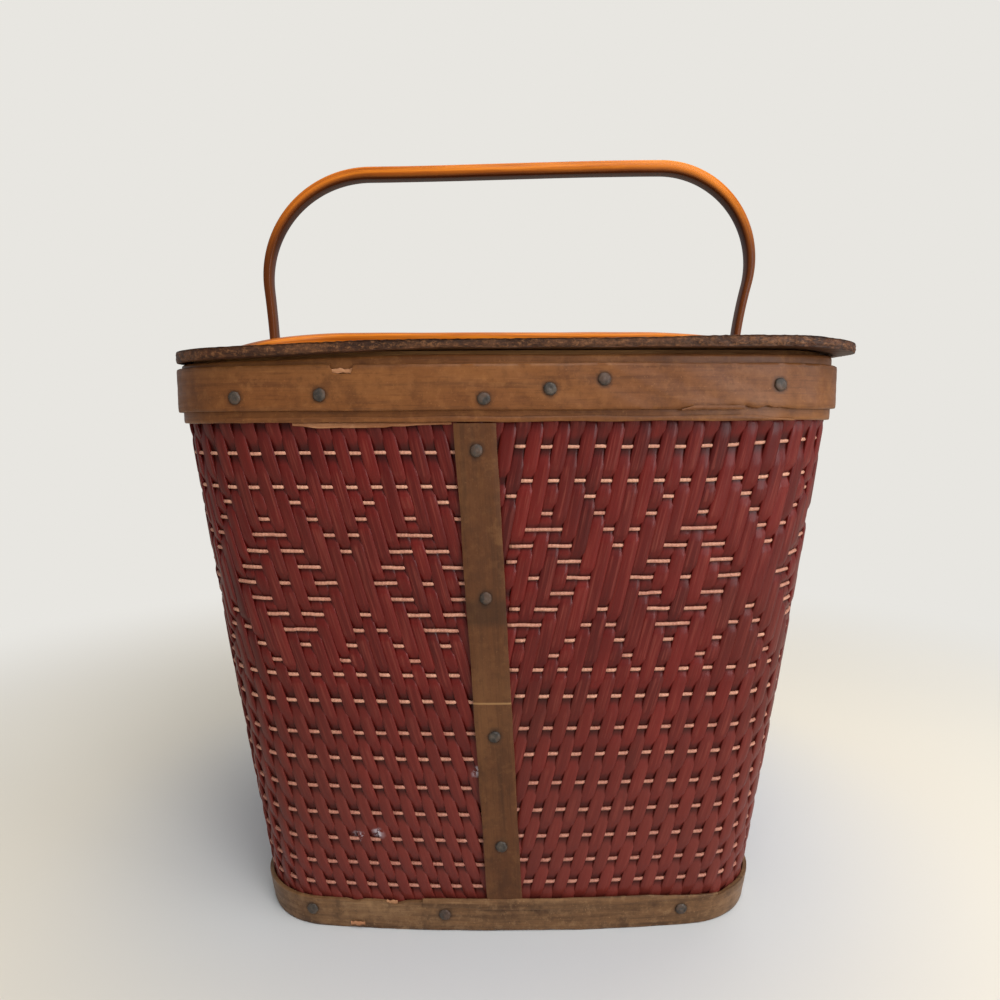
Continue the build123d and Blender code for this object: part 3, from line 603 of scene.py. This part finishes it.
def cord_crossings(row, outline):
    """Runs of the splints that a row's cord crosses from seam to seam, and which it lies over."""
    height, crossings = ROW_HEIGHTS[row], []
    for side, first in SIDES:
        width, found = pitch(side, height), []
        for k in range(first, int(outline.half / width) + 1):
            run = side * (outline.half - k * width)
            if side * (run - seam_x(height)) > -CORD_OVERLAP:
                found.append((run, cord_is_over(row, side, k)))
        crossings += found[::-1] if side > 0 else [(run + 2 * outline.half, is_over) for run, is_over in found]
    return crossings


def make_cords():
    """The cords, each from the seam round the back to the seam again."""
    points, faces, grain, tones = [], [], [], []
    rng = np.random.default_rng(23)
    for row, height in enumerate(ROW_HEIGHTS):
        outline = Outline(height)
        runs, outs, jitters = [], [], []
        for middle, is_over in cord_crossings(row, outline):
            jitter = rng.normal(0, CORD_JITTER)
            for shift in (-CORD_FLAT, CORD_FLAT):
                runs.append(middle + shift * pitch(1, height))
                outs.append(CORD_OVER if is_over else CORD_UNDER)
                jitters.append(jitter)
        runs, outs = np.array(runs), np.array(outs)
        wrapped = (runs + outline.half) % (2 * outline.half) - outline.half
        right = np.where(runs > outline.half, -1.0, np.maximum(wrapped, 0.01))
        z = row_height(row, right, outline.half) + jitters
        x, y, turn_x, turn_y = outline.place(runs)
        row_tone = rng.uniform(0.3, 0.8) + (0.25 if height > DIAMOND_TOP else 0)
        lines = []
        for turn in range(CORD_SIDES):
            angle = 2 * pi * turn / CORD_SIDES
            out = outs + CORD_RADIUS * cos(angle)
            lines.append(np.stack([x + turn_x * out, y + turn_y * out, z + CORD_RADIUS * sin(angle)], 1))
        faces += tube(len(runs), CORD_SIDES, len(points))
        points += by_line(lines).tolist()
        for run in runs:
            grain += [(run * MM, row * 0.05 + turn * 0.0008, 0.0) for turn in range(CORD_SIDES)]
            tones += [row_tone + 0.25 * sin(run * 0.9 + row)] * CORD_SIDES
    piece = mesh_object(
        "weave_cords", points, faces, "basket", cord_look, grain=grain, tone=np.clip(tones, 0, 1)
    )


# Nails


def fastener_heads(node):
    """Apex, outward axis and radius of each nail of a node, in millimetres, read from its solids."""
    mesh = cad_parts[node].data
    count = len(mesh.vertices)
    places = np.empty(count * 3)
    mesh.vertices.foreach_get("co", places)
    places = places.reshape(-1, 3) / MM
    parent = list(range(count))

    def root(v):
        while parent[v] != v:
            parent[v] = parent[parent[v]]
            v = parent[v]
        return v

    keys = {}
    for v, p in enumerate(np.round(places, 3).tolist()):
        parent[root(v)] = root(keys.setdefault(tuple(p), v))
    for edge in mesh.edges:
        parent[root(edge.vertices[0])] = root(edge.vertices[1])
    groups = {}
    for v in range(count):
        groups.setdefault(root(v), []).append(v)
    heads = []
    for members in groups.values():
        middle = places[members].mean(0)
        solid = places[members] - middle
        axis = np.linalg.svd(solid, full_matrices=False)[2][0]
        reach = solid @ axis
        off = solid - np.outer(reach, axis)
        wide = np.linalg.norm(off, axis=1)
        if reach[np.argmax(wide)] < 0:
            axis, reach = -axis, -reach
        core = off[wide < 0.5 * wide.max()]
        centre = middle + core.mean(0) if len(core) else middle
        heads.append((centre + axis * reach.max(), axis, wide.max()))
    heads.sort(key=lambda h: tuple(np.round(h[0], 2)))
    return heads


def make_nails(node, seed):
    """Low, uneven nail heads with a short shank, in place of a node's nails."""
    rng = np.random.default_rng(seed)
    points, faces = [], []
    heads = fastener_heads(node)
    for apex, axis, radius in heads:
        across = np.cross(axis, (0.0, 0.0, 1.0) if abs(axis[2]) < 0.9 else (1.0, 0.0, 0.0))
        across = across / np.linalg.norm(across)
        other = np.cross(axis, across)
        lumps = rng.uniform(0, 2 * pi, 3)
        dent = rng.uniform(-0.5, 0.5, 2)
        faces += tube(len(NAIL_PROFILE), NAIL_SIDES, len(points))
        for share, drop in NAIL_PROFILE:
            for k in range(NAIL_SIDES):
                angle = 2 * pi * k / NAIL_SIDES
                uneven = 1 + 0.035 * sin(2 * angle + lumps[0]) + 0.028 * sin(6 * angle + lumps[1]) - 0.03
                r = min(share * radius * 0.98 * (uneven if share > 0.3 else 1), radius)
                px, py = r * cos(angle), r * sin(angle)
                flat = 0.12 * sin(px * 1.4 + dent[0] * 4) * sin(py * 1.4 + dent[1] * 4)
                depth = drop - 0.1 + (min(flat, 0.08) if share < 0.9 else 0)
                points.append(tuple(apex + across * px + other * py + axis * depth))
    faces = [face[::-1] for face in faces]
    piece = mesh_object(node + "_forged", points, faces, "basket", nail_look, (node,))
    return [apex for apex, axis, radius in heads]


def stains(points, heads):
    """Dark ring of rust in the wood around nail heads."""
    shade = np.zeros(len(points))
    for head in heads:
        away = np.linalg.norm(np.asarray(points) - head, axis=1)
        shade = np.maximum(shade, 1 - smooth(STAIN_RADIUS - STAIN_FADE, STAIN_RADIUS, away))
    return shade * STAIN_SHARE


# Hoops and bands


def ribbon(name, low, high, inner, outer, finish, node, slot, seed, edges, heads=(), edge=0.5):
    """Closed splint round the body, with uneven edges and rounded arrises."""
    shares = np.linspace(-1, 1, RIBBON_CELLS, endpoint=False)
    lengths = shares * Outline((low + high) / 2).half
    rows = int((high - low) / RIBBON_ROW)
    profile = [(0.0, inner + 0.2), (0.0, outer - 0.5), (0.012, outer - 0.15)]
    profile += [(k / rows, outer) for k in range(1, rows)]
    profile += [(0.988, outer - 0.15), (1.0, outer - 0.5), (1.0, inner + 0.2), (0.97, inner), (0.03, inner)]
    low_edge = low + edge * (0.5 + 0.5 * ripple(lengths, seed, 120.0, 5))
    high_edge = high - edge * (0.5 + 0.5 * ripple(lengths, seed + 1, 150.0, 5))
    low_edge, high_edge = edges(lengths, low_edge, high_edge)
    low_edge, high_edge = np.maximum(low_edge, low), np.minimum(high_edge, high)
    points, grain = [], []
    for share, out in profile:
        z = between(low_edge, high_edge, share)
        swell = 0.12 * ripple(lengths, seed + 2, 70.0, 3) + 0.08 * ripple(lengths + 40 * share, seed + 3, 25.0, 2)
        outline = Outline(between(low, high, share))
        face = swell - 0.18 if out >= outer - 0.6 else 0
        points.append(np.stack([*outline.place(shares * outline.half, out + face)[:2], z], 1))
        grain.append(np.stack([lengths, z, np.full_like(z, out)], 1) * MM)
    points = by_line(points)
    faces = [face[::-1] for face in rings(RIBBON_CELLS, len(profile), closed=True)]
    piece = mesh_object(
        name, points, faces, "basket", finish, (node,), ARRIS, grain=by_line(grain), stain=stains(points, heads)
    )


def nailed_edges(lengths, low_edge, high_edge):
    """Splits in the lower edge of the nailed hoop, and a chip in its upper edge."""
    frayed = hump(70, 84, 116, 124, lengths)
    chipped = hump(-75.0, -73.6, -66.4, -64.6, lengths)
    low_edge = low_edge + frayed * (0.7 + 0.7 * ripple(lengths, 71, 9.0, 3))
    return low_edge, high_edge - chipped * (3.9 + 0.5 * ripple(lengths, 72, 5.0, 3))


def wide_edges(lengths, low_edge, high_edge):
    """The wide hoop is lower at the left front corner, where the lid hangs down."""
    return low_edge, high_edge - RIM_LEFT_DROP * hump(30, 140, 180, 270, -lengths)


def base_edges(lengths, low_edge, high_edge):
    """Small chips in the upper edge of the base band."""
    for place, width, depth in BASE_CHIPS:
        high_edge = high_edge - depth * np.exp(-(((lengths - place) / width) ** 2))
    return low_edge, high_edge


def strip_up(name, low, high, inner, outer, finish, node, slot, heads):
    """Batten up the seam, with slightly wavy edges."""
    rows, columns = 96, 15
    section = [(share, outer - 0.35 * abs(share) ** 8) for share in np.linspace(-1, 1, columns)]
    section += [(1.0, inner + 0.2), (0.9, inner), (-0.9, inner), (-1.0, inner + 0.2)]
    points, grain = [], []
    for z in np.linspace(low, high, rows):
        half = between(*BATTEN_WIDTHS, (z - low) / (high - low)) / 2
        outline, middle = Outline(z), seam_x(z)
        for share, out in section:
            wave = 0.3 * ripple(z, 31 if share > 0 else 32, 60.0, 4) - 0.3
            run = middle + share * (half + wave * abs(share))
            swell = 0.08 * ripple(z + share * 30, 33, 40.0, 3) - 0.08
            points.append(outline.point(run, out + (swell if out > inner + 1 else 0), z))
            grain.append((z * MM, (run - middle) * MM, out * MM))
    piece = mesh_object(
        name, points, tube(rows, len(section)), "basket", finish, (node,), ARRIS,
        grain=grain, stain=stains(points, heads),
    )


def thin_strip(name, runs, lows, highs, outline, inner, outer, finish, replaced=()):
    """Thin sliver of wood on the outline, between two heights at each run."""
    points, grain = [], []
    for run, low, high in zip(runs, lows, highs):
        bevel = 0.3 * min(high - low, 1.0)
        section = (
            (low, outer - 0.2), (low + bevel, outer), (high - bevel, outer), (high, outer - 0.2),
            (high, inner), (low, inner),
        )
        for z, out in section:
            points.append(outline.point(run, out, z))
            grain.append((run * MM, z * MM, out * MM))
    piece = mesh_object(
        name, points, tube(len(runs), len(section)), "basket", finish, replaced, sharp=45, grain=grain
    )


def make_slivers():
    """The reed under the rim, and the layers, chips and splits of the hoops and the base band."""
    rim = Outline(RIM_BOTTOM)
    low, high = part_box("rim_reed_strip")
    start, end = low.x / MM, high.x / MM
    runs = np.linspace(start, end, 60)
    thin = 0.55 + 0.45 * smooth(start, start + 12, runs) - 0.55 * smooth(start + 30, start + 65, runs)
    tops = np.full(60, RIM_BOTTOM + 0.2)
    thin_strip(
        "reed_sliver", runs, tops - 2.3 * thin - 0.2 * ripple(runs, 41, 15.0, 3), tops, rim, 0.2, 1.15,
        reed_wood, ("rim_reed_strip",),
    )
    runs = np.linspace(-122.0, 124.0, 160)
    tops = 251.5 + 0.35 * ripple(runs, 49, 60.0, 4) - 1.2 * smooth(100, 124, runs)
    thin_strip(
        "rim_lower_layer", runs, 249.3 + 0.2 * ripple(runs, 48, 40.0, 4), tops, rim, 2.1, 2.9, rim_wood
    )
    runs = np.linspace(-74.5, -65.5, 16)
    lows, tops = 270.2 + 0.3 * ripple(runs, 42, 4.0, 3), 272.0 + 0.8 * ripple(runs, 43, 5.0, 3)
    thin_strip("rim_torn_bit", runs, lows, tops, rim, 2.4, 3.9, reed_wood)
    runs = np.linspace(74.0, 101.0, 40)
    rise = smooth(74, 80, runs)
    lows = 253.6 + 0.5 * rise + 0.15 * ripple(runs, 44, 8.0, 3)
    tops = 254.4 + 1.3 * rise + 0.2 * ripple(runs, 45, 10.0, 3)
    thin_strip("rim_split", runs, lows, tops, rim, 4.4, 5.3, rim_wood)
    runs = np.linspace(-42.0, 103.0, 150)
    lows = 13.6 - smooth(-25, 0, runs) + 2.6 * smooth(25, 100, runs) + 0.3 * ripple(runs, 46, 18.0, 4)
    tops = 18.2 - 2.0 * smooth(60, 103, runs) + 0.25 * ripple(runs, 47, 30.0, 3)
    thin_strip(
        "base_upper_layer", runs, lows, np.maximum(tops, lows + 0.5), Outline(12.0), 2.6, 3.3, base_wood
    )
    chips = (("base_chip_top", -60.0, 5.5, 14.3, 16.0), ("base_chip_low", -78.0, 7.0, 2.2, 4.0))
    for name, start, length, low, high in chips:
        runs = np.linspace(start, start + length, 14)
        lows, tops = low + 0.5 * ripple(runs, 50, 4.0, 3), high + 0.4 * ripple(runs, 51, 3.0, 3)
        thin_strip(name, runs, lows, tops, Outline(8.0), 2.2, 2.75, reed_wood)


# Lid


def lid_ends(y, left, right):
    """Ends of the lid's rounded outline at a distance from its middle."""

    def inset(radius, edge_distance):
        return radius - sqrt(max(radius**2 - max(radius - edge_distance, 0) ** 2, 0))

    front, back = y + LID_DEPTH / 2, LID_DEPTH / 2 - y
    return (
        left + max(inset(LID_FRONT_LEFT, front), inset(LID_BACK, back)),
        right - max(inset(LID_FRONT_RIGHT, front), inset(LID_BACK, back)),
    )


def lid_heights(x, y, z_low, z_high):
    """Top and underside of a board, which sags, droops at the front corners and frays."""
    left_drop = smooth(30, 150, -x)
    sag = smooth(20, 120, -y) * (0.9 + 0.9 * ripple(x, 51, 170.0, 2))
    sag = np.maximum(sag, 0) + smooth(100, 150, np.abs(x)) * 0.4 * (0.5 + 0.5 * ripple(y, 52, 140.0, 2))
    sag = sag * (1 - 0.9 * left_drop)
    droop = smooth(-20, 140, -y) * (
        LID_DROOP_LEFT * smooth(20, 125, -x) + RIM_LEFT_DROP * left_drop + LID_DROOP_RIGHT * smooth(112, 158, x)
    )
    corner_x, corner_y = np.maximum(np.abs(x) - HOOP_CORNER_X, 0), np.maximum(np.abs(y) - HOOP_CORNER_Y, 0)
    outside = smooth(0.5, 3, np.hypot(corner_x, corner_y) - HOOP_CORNER_RADIUS)
    relief = 0.06 * np.abs(ripple(y + 0.02 * x, 53, 3.1, 3))
    fray = smooth(4, 0, y + LID_DEPTH / 2) * 0.45 * np.abs(ripple(x, 58, 9.0, 4))
    top = z_high - 0.1 - droop - 0.6 * sag - fray - relief * 0.8
    return top, z_low + 0.1 - droop * outside + 0.05 * ripple(x * 0.1 + y, 54, 4.0, 2)


def grid_faces(rows, columns, first=0, down=False):
    """Quads of a grid of points."""
    corners = (0, columns, columns + 1, 1) if down else (0, 1, columns + 1, columns)
    starts = [first + j * columns + i for j in range(rows - 1) for i in range(columns - 1)]
    return [tuple(start + corner for corner in corners) for start in starts]


def make_board(name, node, body, heads, seed):
    """Dark board with fibrous edges, on a grid that follows the lid's outline."""
    low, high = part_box(node)
    y_low, y_high = low.y / MM, high.y / MM
    is_front = y_low < -LID_DEPTH / 2 + 1
    rows, columns = LID_GRID
    # Rows crowd towards the board's rounded end, and columns towards both of its sides
    share = np.linspace(0, 1, rows)
    share = share**1.7 if is_front else 1 - (1 - share) ** 1.7
    us = np.linspace(-1, 1, columns)
    us = np.sign(us) * (1 - (1 - np.abs(us)) ** 1.25)
    x_grid, y_grid = np.empty((rows, columns)), np.empty((rows, columns))
    for j, y in enumerate(between(y_low, y_high, share)):
        left, right = lid_ends(float(y), low.x / MM, high.x / MM)
        x_grid[j] = (left + right) / 2 + us * (right - left) / 2
        y_grid[j] = y
    top, bottom = lid_heights(x_grid, y_grid, low.z / MM, high.z / MM)

    border = [(0, i) for i in range(columns)] + [(j, columns - 1) for j in range(1, rows)]
    border += [(rows - 1, i) for i in range(columns - 2, -1, -1)] + [(j, 0) for j in range(rows - 2, 0, -1)]
    at = tuple(np.array(border).T)
    edge_x, edge_y, edge_top, edge_bottom = x_grid[at], y_grid[at], top[at], bottom[at]
    next_x, next_y = np.roll(edge_x, -1), np.roll(edge_y, -1)
    along = np.concatenate([[0], np.cumsum(np.hypot(next_x - edge_x, next_y - edge_y))[:-1]])
    out_x, out_y = next_y - np.roll(edge_y, 1), np.roll(edge_x, 1) - next_x
    length = np.hypot(out_x, out_y)
    out_x, out_y = out_x / length, out_y / length
    hinge_side = np.abs(edge_y - (y_high if is_front else y_low)) < 0.05

    # The grid's border is drawn in a little, and rings of the edge itself stand outside it
    x_grid[at] -= out_x * LID_INSET
    y_grid[at] -= out_y * LID_INSET
    upper, lower = (np.stack([x_grid.ravel(), y_grid.ravel(), z.ravel()], 1) for z in (top, bottom))
    ring_points = []
    broad = 0.3 * (1 + ripple(along, seed + 20, 50.0, 3))
    for level, (up, pull) in enumerate(LID_RINGS):
        rough = 0.26 * (1 + ripple(along, seed + level, 6.0, 4)) + broad
        pulled = np.where(hinge_side, 0.05 + pull * 0.5, pull + rough)
        z = between(edge_bottom, edge_top, up) + 0.12 * ripple(along, seed + 30 + level, 7.0, 3)
        ring_points.append(np.stack([edge_x - out_x * pulled, edge_y - out_y * pulled, z], 1))
    points = np.concatenate([upper, *ring_points, lower])
    count, total = len(border), rows * columns
    base = total + len(LID_RINGS) * count
    edge = np.zeros(len(points))
    edge[total:base] = 1.0

    faces = grid_faces(rows, columns)
    border_top = [j * columns + i for j, i in border]
    chain = [border_top] + [list(range(start, start + count)) for start in range(total, base, count)]
    chain.append([base + v for v in border_top])
    for over, under in zip(chain, chain[1:]):
        faces += [(over[k - 1], under[k - 1], under[k], over[k]) for k in [*range(1, count), 0]]
    faces += grid_faces(rows, columns, base, down=True)
    x, y, z = points.T
    grain = np.stack([x + 0.04 * y, y + 2.0 * ripple(x, 57, 200.0, 2), z], 1) * MM
    piece = mesh_object(
        name, points, faces, body, lid_wood, (node,), 60, grain=grain, stain=stains(points, heads), edge=edge
    )


# Handles


def bow_stations(leg_x, lean_x, bar_z):
    """Points along an edge of half a handle, from below its eye to the bar's middle."""
    stations = [(leg_x, z) for z in np.linspace(-EYE_RADIUS, LEG_STRAIGHT, 14)]
    turn = 2 * atan((lean_x - leg_x) / (LEAN_HEIGHT - LEG_STRAIGHT))
    bend = (LEAN_HEIGHT - LEG_STRAIGHT) / sin(turn)
    for angle in np.linspace(0, turn, 20)[1:]:
        stations.append((leg_x + bend * (1 - cos(angle)), LEG_STRAIGHT + bend * sin(angle)))
    shoulder = (bar_z - LEAN_HEIGHT) / (1 + sin(turn))
    centre_x, centre_z = lean_x - shoulder * cos(turn), bar_z - shoulder
    for angle in np.linspace(-turn, pi / 2, 44)[1:]:
        stations.append((centre_x + shoulder * cos(angle), centre_z + shoulder * sin(angle)))
    return stations + [(centre_x * share, bar_z) for share in np.linspace(1, 0, 22)[1:]]


def bow_edge(leg_x, leans, bar_z):
    """Points along an edge of a handle, from its right eye to its left one."""
    right, left = [bow_stations(leg_x, lean_x, bar_z) for lean_x in leans]
    return np.array(right + [(-x, z) for x, z in left[-2::-1]])


def make_handle(name, node, body, end, rest, seed):
    """Bentwood handle: one rounded strip from eye to eye, thicker along the bar."""
    leg_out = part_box("pivot_spacers")[1].x / MM + LEG_PLAY + LEG_THICKNESS
    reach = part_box("far_handle_bow")[1].z / MM - PIVOT_Z
    leans = (FULL_LEAN, SLIGHT_LEAN)[::end]
    outer = bow_edge(leg_out, [leg_out + lean for lean in leans], reach)
    inner = bow_edge(
        leg_out - LEG_THICKNESS, [leg_out + lean - LEAN_THICKNESS for lean in leans], reach - BAR_THICKNESS
    )
    middle = (outer + inner) / 2
    along = np.concatenate([[0], np.cumsum(np.hypot(*np.diff(middle, axis=0).T))])
    points, grain, age = [], [], []
    for run, (centre_x, centre_z), across in zip(along, middle, outer - inner):
        thickness = np.linalg.norm(across)
        width = HANDLE_WIDTH / 2
        if centre_z < sqrt(EYE_RADIUS**2 - width**2):
            width = sqrt(max(EYE_RADIUS**2 - centre_z**2, 0.3))
        width += 0.08 * ripple(run, seed + 2, 80.0, 2) - 0.08
        thick = thickness - 0.15 + 0.05 * ripple(run, seed, 60.0, 3)
        for turn in range(HANDLE_SIDES):
            angle = 2 * pi * turn / HANDLE_SIDES
            c, s = cos(angle), sin(angle)
            u, v = np.sign(c) * abs(c) ** HANDLE_ROUNDNESS, np.sign(s) * abs(s) ** HANDLE_ROUNDNESS
            x, z = (centre_x, centre_z) + across * u * thick / 2 / thickness
            y = v * width
            drop = BAR_DROP * smooth(DROP_REACH, -DROP_REACH, x * end) * max(z, 0) / reach
            points.append((x, y, z - drop))
            grain.append((run * MM, y * MM, u * thickness / 2 * MM))
            leg = 1 - smooth(95, 152, z)
            # Painted shade: the far handle's underside gets a darker colour; the near handle's does not
            under = 0.5 * (1 - u) if end > 0 else 0.0
            age.append(min(1.0, 0.92 * leg + 1.25 * max(under - 0.5, 0) / 0.45 * (1 - leg)))
    # Upright so far, it tips about the pivots to where it rests
    x, y, z = np.array(points).T
    c, s = cos(radians(90 - rest)), sin(radians(90 - rest))
    points = np.stack([x, y * c + z * s + end * PIVOT_Y, z * c - y * s + PIVOT_Z], 1)
    piece = mesh_object(
        name, points, tube(len(outer), HANDLE_SIDES), body, handle_look, (node,), 70, grain=grain, age=age
    )


# Assembly

make_splints()
make_cords()
rim_heads = make_nails("rim_nails", 101) + make_nails("rim_long_nails", 102)
base_heads = make_nails("base_nails", 103)
batten_heads = make_nails("batten_nails", 104)
lid_heads = make_nails("lid_nails", 105)
ribbon("rim_splint_wide", *WIDE_HOOP, rim_wood, "rim_wide_hoop", "rim_splint", 61, wide_edges, edge=0.7)
ribbon("rim_splint_nailed", *NAILED_HOOP, rim_wood, "rim_nailed_hoop", "rim_splint", 64, nailed_edges, rim_heads)
ribbon("base_splint_nailed", *BASE_BAND, base_wood, "base_band", "base_splint", 67, base_edges, base_heads)
strip_up("seam_batten_front", *BATTEN, batten_wood, "seam_batten_outer", "batten_splint", batten_heads)
make_slivers()
make_board("lid_flap_board", "lid_front_flap", "front_flap", [], 81)
make_board("lid_fixed_board", "lid_back_board", "basket", lid_heads, 82)
make_handle("far_handle_bentwood", "far_handle_bow", "far_handle", 1, FAR_HANDLE_REST, 91)
make_handle("near_handle_bentwood", "near_handle_bow", "near_handle", -1, NEAR_HANDLE_REST, 92)

CAD_LOOKS = (
    (inner_wood_x, ("bottom_board", "rim_inner_hoop", "lid_crossbar", "lid_back_cleat")),
    (inner_wood_z, ("seam_batten_inner",)),
    (brass_look, ("hinge_leaves_fixed", "hinge_leaves_flap", "hinge_pins", "hinge_screws_fixed", "hinge_screws_flap")),
    (bolt_look, ("pivot_bolts", "pivot_spacers", "pivot_washers", "pivot_nuts")),
)
for look, nodes in CAD_LOOKS:
    for node in nodes:
        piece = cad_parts[node]
        piece.data.materials.clear()
        piece.data.materials.append(look)


# Stage, light and camera

PALE_WALL = srgb(232, 230, 225)
FLOOR_HALF = 6.0
LAMPS = (
    ("key_above_front", (0.3, -0.9, 1.25), (0, 0, 0.15), 0.9, 12.0, (1.0, 0.97, 0.93)),
    ("top_soft", (0.2, 0.25, 1.5), (0, 0, 0.2), 1.0, 8.5, (1.0, 0.98, 0.95)),
    ("right_fill", (1.2, -0.5, 0.6), (0, 0, 0.15), 0.8, 6.0, (0.97, 0.98, 1.0)),
    ("front_window", (0.85, -1.35, 0.45), (0.08, -0.1, 0.2), 0.6, 8.0, (0.95, 0.96, 1.0)),
)
WORLD_COLOUR, WORLD_STRENGTH = (0.95, 0.97, 1.0, 1), 0.38
CAMERA_PLACE = (-3.2 * MM, -465.0 * MM, 250.0 * MM)
CAMERA_DOWN, CAMERA_ROLL = 6.08, 0.3
LENS, SENSOR_WIDTH, CLIP_START = 27.04, 36.0, 0.01


def make_floor():
    """Large level floor, with a cool painted shade near the basket, then cream, then as pale as the wall."""
    mesh = bpy.data.meshes.new("floor")
    corners = [(x * FLOOR_HALF, y * FLOOR_HALF, 0) for x, y in ((-1, -1), (1, -1), (1, 1), (-1, 1))]
    mesh.from_pydata(corners, [], [(0, 1, 2, 3)])
    floor = add_object("floor", mesh)
    n = Nodes("cream_floor", rough=0.6, specular=0.2)
    away = n.add("VectorMath", operation="LENGTH", Vector=n.place()).outputs["Value"]
    # Painted shade: a cooler, darker floor close to the basket, fading to cream further out
    shade_then_cream = n.mix(n.span(away, 0.12, 0.3), (210, 214, 218), (226, 219, 204))
    cloud = n.times(n.noise(n.place(), 3.0, 3.0, 0.5), 0.35)
    n.put(n.shader.inputs["Base Color"], n.mix(cloud, shade_then_cream, (206, 206, 202)))
    far = n.times(n.span(away, 0.3, 0.75), n.add("LightPath").outputs["Is Camera Ray"])
    blend = n.add("MixShader", Fac=far, Shader=n.shader.outputs[0])
    n.put(blend.inputs[2], n.add("Emission", Color=PALE_WALL).outputs[0])
    n.put(n.tree.nodes["Material Output"].inputs["Surface"], blend.outputs[0])
    mesh.materials.append(n.material)


def area_light(name, place, target, size, power, colour):
    """Soft square lamp at a place, aimed at a target, in metres and watts."""
    lamp = bpy.data.lights.new(name, "AREA")
    lamp.shape, lamp.size, lamp.energy, lamp.color = "SQUARE", size, power, colour
    holder = add_object(name, lamp)
    holder.location = place
    holder.rotation_euler = (Vector(target) - Vector(place)).to_track_quat("-Z", "Y").to_euler()


def make_world():
    """Even pale world, brighter to the camera than to the object."""
    world = bpy.data.worlds.new("pale_world")
    bpy.context.scene.world = world
    world.use_nodes = True
    nodes, links = world.node_tree.nodes, world.node_tree.links
    nodes.clear()
    mix, path = nodes.new("ShaderNodeMixShader"), nodes.new("ShaderNodeLightPath")
    links.new(path.outputs["Is Camera Ray"], mix.inputs[0])
    for socket, colour, strength in ((1, WORLD_COLOUR, WORLD_STRENGTH), (2, PALE_WALL, 1.0)):
        background = nodes.new("ShaderNodeBackground")
        background.inputs["Color"].default_value = colour
        background.inputs["Strength"].default_value = strength
        links.new(background.outputs[0], mix.inputs[socket])
    links.new(mix.outputs[0], nodes.new("ShaderNodeOutputWorld").inputs["Surface"])


make_floor()
make_world()
for lamp in LAMPS:
    area_light(*lamp)

camera_data = bpy.data.cameras.new("camera")
camera_data.lens, camera_data.sensor_width, camera_data.clip_start = LENS, SENSOR_WIDTH, CLIP_START
camera = add_object("camera", camera_data)
camera.location = CAMERA_PLACE
camera.rotation_euler = (radians(90 - CAMERA_DOWN), radians(CAMERA_ROLL), 0)
bpy.context.scene.camera = camera
bpy.context.scene.view_settings.view_transform = "Standard"
